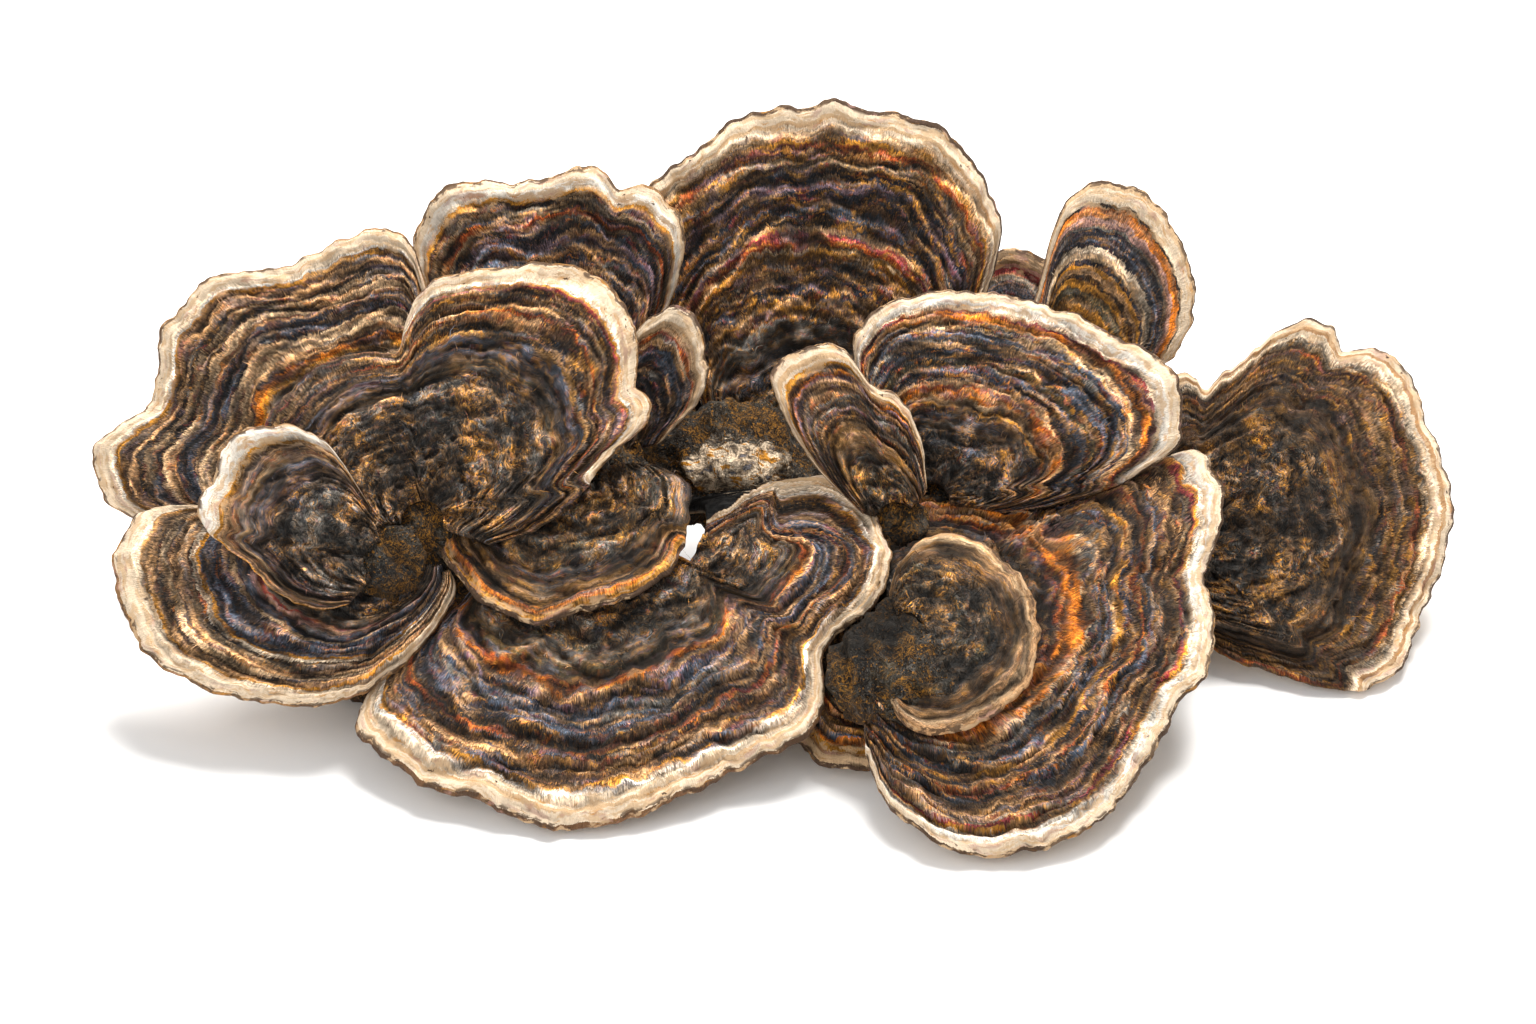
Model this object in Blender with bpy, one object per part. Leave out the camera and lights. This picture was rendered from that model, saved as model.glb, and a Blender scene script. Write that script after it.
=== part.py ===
"""A clump of turkey tail fungus: thin, zoned, fan-shaped caps that grew from one shared woody base.

The clump stands on the flat cut under its base. Sizes here are in millimetres, and become metres
where a mesh is made. +X is the viewer's right, +Y is away from the viewer and +Z is up.

Each cap is a fan. Its root sits in the base, and rays run out from the root across the fan's own
flat frame to the growing margin. A ray is (angle, reach, lift): the angle runs anticlockwise from
the viewer's right, the reach is the distance from the root to the margin, and the lift is how far
the margin stands out of the flat frame, towards the zoned upper face.
"""

import math
from dataclasses import dataclass

import bmesh
import bpy
import numpy as np
from mathutils import Matrix, Vector

MM = 0.001  # one millimetre in metres

# The middle of the finished clump's footprint, in the frame that the caps are laid out in.
CLUMP_MIDDLE = (0.9, -0.75, 0.0)

ROOT_START = 2.5  # a sheet starts this far from its root, inside the base
LOBE_POWER = 3.0  # how quickly the lobes of a margin fade out towards the root
ROUNDING = 1.0  # width of the rounded rim of a sheet
THINNING = 1.5  # how quickly a sheet thins out from its root to its margin
SIDE_SHARE = 0.8  # thickness of a sheet beside its two sharp sides, as a share of the full one
LEDGE_RUN = 0.02  # half of the share of a ray that a ledge drops over
INNER_ROW = 0.28  # share of a ray at which an arched sheet has its first row of points
BASE_GAP = 0.5  # clearance between a cap and the base that it grew from

FOOT_FLATNESS = 0.62  # thickness of the swelling of the base behind a cap's root, as a share
FOOT_DEPTH = 1.8  # how far behind the sheet the middle of that swelling lies
BASE_VOXEL = 1.7  # cell size that the base's swellings are fused with
BASE_SMOOTHING = 8  # how often the fused skin is relaxed
BASE_FACES_KEPT = 0.07  # share of the base's faces that its final, coarser skin keeps
GROUND = (400.0, 400.0, 100.0)  # size of the block that cuts the base off flat


@dataclass
class Cap:
    """One fan-shaped cap."""

    name: str
    root: tuple  # x, y, z of the point that the rays spread from
    facing: tuple  # turn of the upper face to the viewer's right, and its tilt up from level
    rays: list  # (angle, reach, lift), anticlockwise
    arch: float = 0.0  # how far the sheet bulges out of its frame halfway along a ray
    ledges: tuple = ()  # (share of the ray, height) of the edge of each older growth layer
    thick: tuple = (3.0, 1.3)  # thickness at the root and near the margin
    notch: tuple = (0.0, 0.0, ROOT_START)  # between these angles the sheet starts this far out
    foot: float = 6.0  # radius of the swelling of the base behind the root
    colour: tuple = (0.20, 0.15, 0.11)


CAPS = [
    Cap(
        name="cap_left_back",
        root=(-41.0, 8.0, 18.0),
        facing=(-10, 35),
        rays=[
            (68, 12, 0), (90, 19, 0), (96, 25, 0), (98.5, 28.8, 0.5), (101.5, 31, 0.8), (108, 32.2, 0.6),
            (116, 32, 0), (123, 32.2, -0.6), (130, 32.8, 0), (136, 34.8, 0.6), (142, 37.2, 0.8),
            (149, 38, 0.3), (156, 38.2, -0.3), (162, 36.7, -0.6), (168, 36.2, -0.4), (173, 38.3, 0.4),
            (178, 41, 0.8), (184, 40.4, 0.4), (190, 37, 0), (195, 27, 0), (201, 15, 0),
        ],
        arch=1.5,
        ledges=((0.5, 0.6), (0.74, 0.6)),
        colour=(0.24, 0.18, 0.14),
    ),
    Cap(
        name="cap_back_left",
        root=(-24.0, 20.0, 22.0),
        facing=(0, 26),
        rays=[
            (35, 9, 0), (44, 15, 0), (51, 21, 0), (57, 25.7, 0.5), (64, 27.8, 0.8), (72, 29, 0.3),
            (77.5, 27.7, -0.8), (84, 29.9, 0.5), (90, 29.4, 0.6), (98, 28.3, -0.4), (106, 28.8, 0),
            (112, 30.2, 0.6), (120, 31, 0.5), (126, 30, 0), (135, 27.2, -0.4), (146, 20, 0),
            (158, 12, 0),
        ],
        arch=1.0,
        ledges=((0.6, 0.7),),
        colour=(0.22, 0.17, 0.15),
    ),
    Cap(
        name="cap_centre_left",
        root=(-40.0, -6.4, 22.4),
        facing=(0, 40),
        rays=[
            (-20, 8, 2), (-8, 12, 3), (3, 16.3, 3.8), (12, 19.7, 3.6), (20, 24, 2.6), (24.5, 28.6, 1.2),
            (28, 29.8, 1), (33, 29.4, 0.2), (37.5, 31.2, -0.4), (43, 33.4, -0.4), (50, 35.2, 0),
            (58, 35.3, 0.3), (65, 34.2, 0), (74, 31.6, -0.3), (82, 30, 0), (88.5, 28.7, -0.6),
            (94, 26.3, -2), (98.5, 22.4, -4), (110, 22.4, -5), (124, 23.3, -5), (135, 23.3, -4.5),
            (150, 22.4, -5.2), (163, 17.2, -5.4), (176, 10.6, -4), (190, 6, -2),
        ],
        arch=1.5,
        ledges=((0.45, 0.7), (0.7, 0.6)),
        thick=(3.0, 1.4),
        colour=(0.19, 0.15, 0.12),
    ),
    Cap(
        name="cap_left_small",
        root=(-44.0, -12.8, 21.2),
        facing=(0, 43),
        rays=[
            (106, 6, 0), (112, 10.5, 0), (117, 15.8, 0.2), (124, 19.2, 0.4), (133, 21.6, 0.7),
            (141, 23.2, 0.5), (148.5, 23.1, 0), (155, 22.3, -0.3), (160, 22.8, 0), (166, 22.4, 0),
            (173, 19.4, 0), (180, 16, 0), (187, 14.6, 0), (196, 13, 0), (206, 11.2, 0),
            (217, 9.2, 0), (230, 6.5, 0),
        ],
        ledges=((0.55, 0.5),),
        thick=(2.2, 1.2),
        foot=4.5,
        colour=(0.23, 0.18, 0.15),
    ),
    Cap(
        name="cap_left_front",
        root=(-43.0, -8.2, 17.8),
        facing=(0, 55),
        rays=[
            (155, 12, 0), (161, 21, 0), (164, 27, 0), (168, 31, 0.5), (174, 32.6, 0.8),
            (184, 33, 0.4), (191, 32.3, 0), (198, 31.2, 0.4), (205, 30, 0.8), (213, 27.6, 0.8),
            (222, 25, 0.5), (231, 22.4, 0.5), (240, 20.6, 0.6), (249, 18.6, 0.4), (258, 16, 0),
            (270, 13.2, 0), (288, 10.6, 0.6), (312, 8.5, 1), (336, 7.4, 1), (350, 6, 0.5),
        ],
        arch=1.0,
        ledges=((0.6, 0.7),),
        colour=(0.24, 0.18, 0.13),
    ),
    Cap(
        name="cap_front",
        root=(-20.0, -0.3, 18.5),
        facing=(0, 65),
        rays=[
            (205, 10, 0), (213, 20, -0.5), (218.5, 28.5, -1), (221, 35, -2), (223.5, 38, -2),
            (229.5, 39, -0.8), (240, 40.1, 0), (250, 39.8, 0.4), (257, 40.8, 0.6), (264, 41.4, 0.4),
            (271, 40.5, 0), (277, 40, 0.4), (283, 38.7, 0.6), (290, 38, 0.3), (298, 37.2, 0),
            (305, 38, 0.6), (311, 38, 0.8), (316, 36.5, 0.4), (320.5, 34.5, 0), (326.5, 32, 0.5),
            (330.5, 32.2, 1), (335.5, 34, 2), (341.5, 35.4, 2.8), (347, 35.2, 3), (353, 34, 3),
            (359.5, 32.2, 2.6), (366, 29.7, 2), (371.5, 27.5, 1.4), (374, 20, 1), (376, 12.5, 0.5),
        ],
        arch=1.0,
        ledges=((0.62, 0.6), (0.8, 0.4)),
        thick=(3.2, 1.4),
        notch=(322, 377, 12.8),
        colour=(0.25, 0.19, 0.13),
    ),
    Cap(
        name="cap_front_inner",
        root=(-22.0, 0.0, 24.5),
        facing=(0, 66),
        rays=[
            (170, 7, 0), (181, 13, -0.3), (192, 16.4, -0.4), (203, 18, 0), (214, 19, 0),
            (225, 19.5, 0), (236, 20.2, 0.4), (247, 20.8, 0.4), (257, 20.6, 0), (268, 19, 0),
            (280, 18, 0.4), (292, 17.6, 0.4), (306, 17, 0), (320, 15.6, 0), (331, 14.4, 0.5),
            (342, 13.5, 0.8), (353, 13.0, 1), (363, 10.5, 0.8), (375, 7, 0),
        ],
        ledges=((0.6, 0.6),),
        thick=(2.8, 1.2),
        colour=(0.15, 0.13, 0.09),
    ),
    Cap(
        name="cap_back",
        root=(3.0, 20.0, 8.0),
        facing=(0, 26),
        rays=[
            (36, 16, 0), (42, 26, 0), (46, 32, 0), (49.5, 38, 0.4), (53, 42.5, 0.6), (57, 45, 0.3),
            (64, 48.8, -0.5), (68, 50, -0.3), (73, 50.4, 0.5), (80.5, 49.8, 0.2), (84.5, 50.9, 0.8),
            (88, 49.3, 0.2), (92, 49.3, -0.4), (99, 48.4, 0), (104, 46, 0.5), (110, 44.5, 0.3),
            (114, 43.4, 0), (120, 40.5, -0.4), (128, 34, 0), (134, 26, 0), (140, 16, 0),
        ],
        arch=1.5,
        ledges=((0.5, 0.9), (0.68, 0.9)),
        thick=(3.6, 1.4),
        colour=(0.18, 0.13, 0.10),
    ),
    Cap(
        name="cap_back_right",
        root=(34.0, 26.0, 24.0),
        facing=(10, 26),
        rays=[
            (-25, 6, 0), (-13, 10, 0), (1, 16, 0), (11, 18.5, 0.4), (21, 20.6, 0.4), (32, 22.4, 0),
            (41.5, 23.6, -0.3), (51.5, 24.8, 0), (60, 24.8, 0.4), (69, 24.2, 0.4), (77, 21.9, 0),
            (81, 19.3, 0), (84, 16.2, 0), (87, 13, 0), (100, 8, 0), (115, 5, 0),
        ],
        arch=1.0,
        ledges=((0.6, 0.5),),
        thick=(2.6, 1.2),
        colour=(0.33, 0.24, 0.16),
    ),
    Cap(
        name="cap_back_tiny",
        root=(28.0, 32.0, 20.0),
        facing=(0, 26),
        rays=[
            (40, 8, 0), (50, 12, 0), (60, 15, 0), (70, 16, 0.3), (80, 15.8, 0), (88, 15.5, 0),
            (98, 14.5, 0), (110, 10, 0),
        ],
        thick=(2.4, 1.2),
        colour=(0.30, 0.16, 0.15),
    ),
    Cap(
        name="cap_centre_right",
        root=(19.0, 3.2, 19.0),
        facing=(0, 40),
        rays=[
            (-8, 8, 0), (0, 15.5, 0), (8, 25, 0), (12.5, 29.7, 0), (17, 31.6, 0.4), (25.5, 33.1, 0.8),
            (31.5, 33, 0.4), (41, 30.6, -0.4), (52, 29, 0), (59, 27.9, 0.5), (66, 27.2, 0.2),
            (75.5, 26.6, -0.4), (84, 26, 0), (92, 25.5, 0.5), (101, 24.7, 0.3), (109, 23.2, 0),
            (115, 21, 0), (119, 17.8, 0), (131, 11.4, 0), (145, 7, 0),
        ],
        arch=1.5,
        ledges=((0.52, 0.9), (0.76, 0.5)),
        thick=(3.2, 1.4),
        foot=4.2,
        colour=(0.27, 0.18, 0.12),
    ),
    Cap(
        name="cap_tongue",
        root=(15.0, -2.6, 20.0),
        facing=(0, 35),
        rays=[
            (45, 5, 0), (62, 7.5, 0), (76, 11.2, 0), (86, 14.2, 0.3), (92, 15.5, 0.3), (98, 16.1, 0),
            (102, 18, 0), (106, 21.2, 0.3), (112, 22.9, 0.5), (119, 23.4, 0.3), (125, 23.2, 0),
            (131, 22.3, 0), (137, 17.5, 0), (143, 12.6, 0), (152, 7, 0), (164, 3.8, 0),
        ],
        arch=1.0,
        ledges=((0.6, 0.5),),
        thick=(2.4, 1.2),
        foot=4.2,
        colour=(0.26, 0.18, 0.13),
    ),
    Cap(
        name="cap_right_front",
        root=(15.6, -15.0, 12.0),
        facing=(0, 70),
        rays=[
            (-118, 8, 0), (-110, 13.5, 0), (-103, 18.6, 0.3), (-96, 23.2, 0.5), (-89, 26.4, 0.5),
            (-82, 29.5, 0.3), (-76, 31.2, 0), (-70, 32, 0), (-58, 33.4, 0.4), (-51, 33.6, 0.5),
            (-45, 33.2, 0.3), (-33, 32.5, 0), (-24, 32.6, 0.3), (-16, 33, 0.6), (-11, 35, 0.8),
            (0, 36, 0.3), (9, 36.4, -0.4), (15, 36.6, -0.6), (21, 40.2, 0), (28.5, 43.8, 0.4),
            (32.5, 45, 0), (39, 45.2, -1), (43, 38, -2.2), (46.5, 29, -2.2), (53, 23.5, -1.6),
            (62, 21.6, -1), (73, 20.9, -0.8), (85, 20.4, -0.6), (94, 17.8, -0.4), (102, 14, 0),
            (110, 8, 0),
        ],
        arch=0.5,
        ledges=((0.6, 0.6), (0.8, 0.5)),
        thick=(3.2, 1.4),
        colour=(0.27, 0.18, 0.12),
    ),
    Cap(
        name="cap_right_inner",
        root=(15.6, -19.3, 15.0),
        facing=(0, 70),
        rays=[
            (-112, 6, 0), (-100, 9.5, 0), (-88, 12.6, 0), (-74, 14, 0.3), (-59, 14.6, 0.4),
            (-37, 15.1, 0), (-15, 15.3, 0), (8, 15.7, 0.3), (24, 16, 0.3), (42, 16.2, 0),
            (62, 16.4, 0), (79, 14.6, 0), (89, 11.5, 0), (99, 8, 0), (109, 5, 0),
        ],
        ledges=((0.72, 0.5),),
        thick=(2.6, 1.2),
        colour=(0.38, 0.18, 0.07),
    ),
    Cap(
        name="cap_under",
        root=(10.0, -9.0, 6.0),
        facing=(0, 78),
        rays=[
            (225, 9, 0), (238, 14, 0), (250, 16.6, 0), (257, 18.4, 0), (264, 18.6, 0), (273, 19, 0),
            (283, 18.5, 0), (295, 17, 0), (310, 12, 0), (325, 8, 0),
        ],
        thick=(2.6, 1.2),
        colour=(0.30, 0.20, 0.09),
    ),
    Cap(
        name="cap_curl",
        root=(-20.0, 12.0, 20.0),
        facing=(0, 30),
        rays=[
            (15, 7, 0), (25, 10.5, 0), (31, 13.8, 0), (38, 16.3, 0.3), (47, 18.2, 0.3), (54, 20, 0),
            (60, 20.7, 0), (66, 20, 0.3), (70, 18.5, 0), (78, 14, 0), (90, 8, 0),
        ],
        thick=(2.4, 1.2),
        colour=(0.24, 0.19, 0.14),
    ),
    Cap(
        name="cap_right",
        root=(50.0, 6.0, 9.8),
        facing=(5, 50),
        rays=[
            (-92, 8, 0), (-74, 13.4, 1), (-60, 18, 2.4), (-51, 23.2, 3.5), (-44, 26.8, 4),
            (-37, 28.6, 3.6), (-31, 29.2, 2.6), (-25, 29, 1.4), (-15, 29.7, 0), (-5, 31.5, 0),
            (3, 33, 0.4), (10, 34, 0.6), (18, 34.9, 0), (28, 35.8, -0.4), (36, 37.4, 0),
            (41, 37.2, 0.4), (45, 36.2, 0.2), (49, 34.4, -0.6), (53.5, 35.6, 0), (57.5, 35, 0.5),
            (63, 31.8, 0.3), (68, 27, 0), (73, 24.2, 0), (77.5, 21.8, -0.6), (81, 22.8, 0),
            (86, 23.4, 0.3), (93, 21, 0), (100, 14, 0),
        ],
        arch=2.0,
        ledges=((0.6, 0.7),),
        thick=(3.4, 1.4),
        colour=(0.23, 0.16, 0.11),
    ),
]

# The swellings that the base is fused from, as centre and half width, half depth and half height.
BASE_LUMPS = [
    ((-44, -3, 8), (11, 12, 12)),
    ((-34, 1, 9), (13, 14, 14)),
    ((-22, 8, 10), (10.4, 14, 14)),
    ((-8, 17, 15), (12, 6, 6)),
    ((-4, 19.5, 17), (11, 4.5, 6)),
    ((-3.5, 13.5, 18.8), (6.5, 5.5, 2.6)),
    ((3, 16, 12), (10, 9, 7)),
    ((12, 4, 6.5), (12, 19, 8.5)),
    ((15.4, -21, 11.4), (8.6, 8.2, 5.6)),
    ((20, 9, 8), (13, 16, 9)),
    ((31, 16, 11), (12, 14, 13)),
    ((44, 7, 7), (12, 9, 9)),
]

BASE_COLOUR = (0.12, 0.09, 0.06)


def frame_of(cap):
    """The unit vectors of a cap's frame: along it to the right, up along it, and out of it."""
    turn, tilt = np.radians(cap.facing)
    level = math.cos(tilt)
    out = np.array([math.sin(turn) * level, -math.cos(turn) * level, math.sin(tilt)])
    right = np.array([math.cos(turn), math.sin(turn), 0.0])
    return right, np.cross(out, right), out


def smoothed(values, width):
    """These values, each averaged with its neighbours up to this many places away."""
    bell = np.hanning(2 * width + 3)[1:-1]
    return np.convolve(np.pad(values, width, mode="edge"), bell / bell.sum(), mode="valid")


def shares_of(cap):
    """Where the rows of a sheet lie, as shares of the way from its start to its margin."""
    rim = ROUNDING / np.mean([ray[1] for ray in cap.rays])
    rows = [0.0, 1 - rim, 1.0]
    if cap.arch:
        rows.append(INNER_ROW)
    for at, _ in cap.ledges:
        rows += [at - LEDGE_RUN, at + LEDGE_RUN]
    return np.array(sorted(rows))[:, None]


def sheet_of(cap, share):
    """The middle of a cap's sheet, one row of points for each share and one column for each ray."""
    angle, reach, lift = np.array(cap.rays, float).T
    start = np.where((angle > cap.notch[0]) & (angle < cap.notch[1]), cap.notch[2], ROOT_START)
    even = smoothed(reach, 2)
    run = start + share * (even - start) + (reach - even) * share**LOBE_POWER
    height = cap.arch * np.sin(math.pi * share) + lift * share**2
    right, up, out = frame_of(cap)
    across = (run * np.cos(np.radians(angle)))[..., None] * right
    along = (run * np.sin(np.radians(angle)))[..., None] * up
    return np.array(cap.root) - CLUMP_MIDDLE + across + along + height[..., None] * out


def thickness_of(cap, share):
    """How thick the sheet is at each point: full at the root, rounded off at the rim and sides."""
    root, margin = cap.thick
    rim = ROUNDING / np.mean([ray[1] for ray in cap.rays])
    inward = np.clip((1 - share) / rim, 0, 1)
    thick = (margin + (root - margin) * (1 - share) ** THINNING) * np.sqrt(1 - (1 - inward) ** 2)
    side = np.ones(len(cap.rays))
    side[[0, -1]] = 0
    side[[1, -2]] = SIDE_SHARE
    return thick * side


def rise_of(cap, share):
    """How far the older growth layers raise the upper face."""
    steps = [high * np.clip(0.5 + (at - share) / (2 * LEDGE_RUN), 0, 1) for at, high in cap.ledges]
    return np.sum(steps, axis=0) if steps else np.zeros_like(share)


def object_of(name, points, faces, material):
    mesh = bpy.data.meshes.new(name)
    mesh.from_pydata([Vector(point) * MM for point in points], [], faces)
    mesh.materials.append(material)
    made = bpy.data.objects.new(name, mesh)
    bpy.context.scene.collection.objects.link(made)
    return made


def velvet(name, colour, roughness=0.9):
    """A matt, faintly fuzzy surface."""
    material = bpy.data.materials.new(name)
    material.use_nodes = True
    shader = material.node_tree.nodes["Principled BSDF"]
    shader.inputs["Base Color"].default_value = (*colour, 1)
    shader.inputs["Roughness"].default_value = roughness
    shader.inputs["Metallic"].default_value = 0
    shader.inputs["Sheen Weight"].default_value = 0.2
    return material


def make_cap(cap, cutter):
    """A closed sheet: an upper and a lower skin that share their points along the margin."""
    share = shares_of(cap)
    middle = sheet_of(cap, share)
    half = thickness_of(cap, share)[..., None] / 2
    rise = rise_of(cap, share)[..., None] * (half > 0)
    out = frame_of(cap)[2]
    upper = middle + (half + rise) * out
    lower = middle - half * out
    rows, columns = upper.shape[:2]
    top = np.arange(rows * columns).reshape(rows, columns)
    under = top + rows * columns
    under[-1] = top[-1]
    under[:, [0, -1]] = top[:, [0, -1]]
    faces = []
    for i in range(rows - 1):
        for j in range(columns - 1):
            faces.append((top[i, j], top[i + 1, j], top[i + 1, j + 1], top[i, j + 1]))
            faces.append((under[i, j], under[i, j + 1], under[i + 1, j + 1], under[i + 1, j]))
    for j in range(columns - 1):
        faces.append((top[0, j], top[0, j + 1], under[0, j + 1], under[0, j]))
    faces = [tuple(dict.fromkeys(int(corner) for corner in face)) for face in faces]
    points = np.concatenate([upper.reshape(-1, 3), lower.reshape(-1, 3)])
    made = object_of(cap.name, points, faces, velvet(cap.name, cap.colour))
    trim = made.modifiers.new("leave the base", "BOOLEAN")
    trim.operation = "DIFFERENCE"
    trim.solver = "MANIFOLD"  # EXACT finds nothing left of some of these thin sheets
    trim.object = cutter
    return made


def add_lump(mesh, centre, radii, axes):
    """Adds one rounded swelling, in metres, to the mesh that the base is fused from."""
    place = Matrix.Translation((Vector(centre) - Vector(CLUMP_MIDDLE)) * MM)
    scale = Matrix.Diagonal(Vector(radii) * MM)
    bmesh.ops.create_icosphere(mesh, subdivisions=3, radius=1, matrix=place @ (axes @ scale).to_4x4())


def lumps_mesh():
    """Every swelling of the base: its own, and a flat one behind the root of each cap."""
    mesh = bmesh.new()
    for centre, radii in BASE_LUMPS:
        add_lump(mesh, centre, radii, Matrix.Identity(3))
    for cap in CAPS:
        axes = frame_of(cap)
        foot = (cap.foot, cap.foot, cap.foot * FOOT_FLATNESS)
        add_lump(mesh, cap.root - FOOT_DEPTH * axes[2], foot, Matrix(axes).transposed())
    made = bpy.data.meshes.new("lumps")
    mesh.to_mesh(made)
    mesh.free()
    return made


def below_ground():
    """A block whose top is the plane that the clump was cut off along."""
    bpy.ops.mesh.primitive_cube_add(size=MM, location=(0, 0, -GROUND[2] / 2 * MM))
    block = bpy.context.object
    block.name = "below the cut"
    block.scale = GROUND
    hide(block)
    return block


def hide(helper):
    helper.hide_render = True
    helper.display_type = "WIRE"


def fuse(made):
    """Melts a base's lumps into one lumpy body."""
    remesh = made.modifiers.new("fuse", "REMESH")
    remesh.mode = "VOXEL"
    remesh.voxel_size = BASE_VOXEL * MM
    relax = made.modifiers.new("relax", "SMOOTH")
    relax.factor = 0.5
    relax.iterations = BASE_SMOOTHING
    coarsen = made.modifiers.new("coarsen", "DECIMATE")
    coarsen.ratio = BASE_FACES_KEPT


def make_base():
    """The woody base, cut off flat underneath where it grew on its log."""
    made = bpy.data.objects.new("base", lumps_mesh())
    bpy.context.scene.collection.objects.link(made)
    made.data.materials.append(velvet("base", BASE_COLOUR, roughness=0.95))
    fuse(made)
    cut = made.modifiers.new("cut flat", "BOOLEAN")
    cut.operation = "DIFFERENCE"
    cut.object = below_ground()
    return made


def make_cutter():
    """The base, swollen by the gap that each cap keeps to it."""
    made = bpy.data.objects.new("room for the base", lumps_mesh())
    bpy.context.scene.collection.objects.link(made)
    fuse(made)
    swell = made.modifiers.new("swell", "DISPLACE")
    swell.mid_level = 0
    swell.strength = BASE_GAP * MM
    hide(made)
    return made


def main():
    for old in list(bpy.data.objects):
        bpy.data.objects.remove(old, do_unlink=True)
    make_base()
    cutter = make_cutter()
    for cap in CAPS:
        make_cap(cap, cutter)


main()
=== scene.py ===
"""The looks of a clump of turkey tail fungus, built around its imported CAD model.

Every cap is built again from the same fan as its CAD solid, fine enough for its growth ridges, pleats
and hairs, and the woody base from the same swellings. Sizes are in millimetres, and become metres
where a mesh is made. +X is the viewer's right, +Y is away from the viewer and +Z is up.
"""

import math
from dataclasses import dataclass

import bmesh
import bpy
import numpy as np
from mathutils import Matrix, Vector


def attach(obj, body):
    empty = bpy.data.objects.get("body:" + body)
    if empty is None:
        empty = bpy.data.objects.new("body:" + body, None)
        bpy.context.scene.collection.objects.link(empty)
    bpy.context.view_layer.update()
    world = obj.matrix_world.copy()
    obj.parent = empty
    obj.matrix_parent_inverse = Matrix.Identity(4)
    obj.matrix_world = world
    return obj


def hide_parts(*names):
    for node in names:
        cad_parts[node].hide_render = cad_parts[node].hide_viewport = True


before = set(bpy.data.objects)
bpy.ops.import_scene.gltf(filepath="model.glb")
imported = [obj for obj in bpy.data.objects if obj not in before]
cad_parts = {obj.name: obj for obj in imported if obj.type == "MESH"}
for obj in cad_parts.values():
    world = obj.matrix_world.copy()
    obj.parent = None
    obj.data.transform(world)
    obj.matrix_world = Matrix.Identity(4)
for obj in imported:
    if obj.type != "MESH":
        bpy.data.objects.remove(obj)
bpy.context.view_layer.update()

MM = 0.001  # one millimetre in metres

# The camera, as it stood for the photograph.
CAMERA_TARGET = (-0.9, 0.75, 20.0)
CAMERA_DISTANCE = 503.0
CAMERA_ELEVATION = 32.0
CAMERA_LENS = 100.0

# The stage and its light. A light has a name, a place, a size in metres, a power and a colour.
TABLE_SIZE = 8.0  # metres
TABLE_COLOUR = (0.96, 0.96, 0.96, 1)
DAYLIGHT = 0.66
LIGHTS = [
    ("key", (0.12, 0.24, 0.7), 0.34, 9.5, (1, 0.98, 0.95)),
    ("fill", (-0.5, -0.7, 0.6), 0.8, 3.6, (1, 1, 1)),
]

# The fans, as in the CAD model.
CLUMP_MIDDLE = (0.9, -0.75, 0.0)
ROOT_START = 2.5  # a sheet starts this far from its root, inside the base
LOBE_POWER = 3.0  # how quickly the lobes of a margin fade out towards the root
ROUNDING = 1.0  # width of the rounded rim of a sheet
SIDE_ROUNDING = 1.5  # width of the rounded sides of a sheet, next to its first and last rays
THINNING = 1.5  # how quickly a sheet thins out from its root to its margin
FOOT_FLATNESS = 0.62  # thickness of the swelling of the base behind a cap's root, as a share
FOOT_DEPTH = 1.8  # how far behind the sheet the middle of that swelling lies

# How fine the meshes are.
CELL = 0.4  # size of a cell of an upper skin
COARSE = 4  # a cell of an under skin is this many times as long and wide
BASE_VOXEL = 0.55  # size of the cells that the base is fused in

# Bristles and hairs.
BRISTLES = 2.2  # for each square millimetre of a cap
HAIRS = 0.6  # for each square millimetre of a hub
BASE_HAIRS = 0.1  # for each point of the upper side of the base
BRISTLE_WIDTH = 0.045
HAIR_WIDTH = 0.05
BRISTLE_LENGTH = (0.4, 0.95)
HAIR_LENGTH = (0.7, 2.2)
BASE_HAIR_LENGTH = (0.9, 3.1)
BRISTLE_RISE = (0.03, 0.3)  # how steeply they stand up from the skin
HAIR_RISE = (0.05, 0.3)
BASE_HAIR_RISE = (0.05, 0.5)
BRISTLE_ROOT = 0.08  # how deep a bristle starts in the skin
HAIR_ROOT = 0.12
BALD_SHARE = 0.06  # share of each ray, from its root, that has none
PALE_MARGIN = 3.8  # distance from the margin at which the bristles start

# The growth relief of a cap: how wide its steps, folds, ridges and fibres are, and how high.
STEP_WIDTH = 2.0
STEP_HEIGHT = 1.3
FOLD_WIDTH = 5.2
FOLD_HEIGHT = 1.1
RIDGE_WIDTH = 0.6
RIDGE_HEIGHT = 0.35
FIBRE_WIDTH = 0.6
FIBRE_LENGTH = 6

UPPER, UNDER, HAIR = 0.0, 1.0, 0.5  # what the attribute "kind" says of a point
SEEDS = 20  # each cap has this many seeds of its own, for its noises and random draws
BASE_SEED = 900

# The end of a lobe inside a fan: how far past its edge it is counted, and how far the skin drops there.
LOBE_END = -4
LOBE_DROP = 1.5

# The pale ledge between the middle caps: its middle, and its half width, depth and height.
LEDGE_PLACE = (-4.6, 11.4, 20.0)
LEDGE_SIZE = (6.5, 3.4, 3.5)

# Painted shade in the deep hollows between the caps, where the base's colour is darkened: their middles,
# radii and how much darker they are painted.
SHADED_HOLLOWS = [
    ((15.4, -2.8, 14.0), 5.5, 0.9),
    ((-5.0, 4.5, 17.0), 4.5, 0.9),
    ((-37.5, -9.0, 10.0), 6.0, 0.9),
    ((-43.0, -11.5, 17.0), 6.0, 0.4),
    ((11.1, -17.2, 16.2), 7.0, 0.8),
]

# How far apart the noises of caps, of stains and of margin patches lie, so that no two are alike.
CAP_SHIFT = 0.37  # for each seed
STAIN_SHIFT = 7.3
PATCH_SHIFT = 5.1

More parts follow.
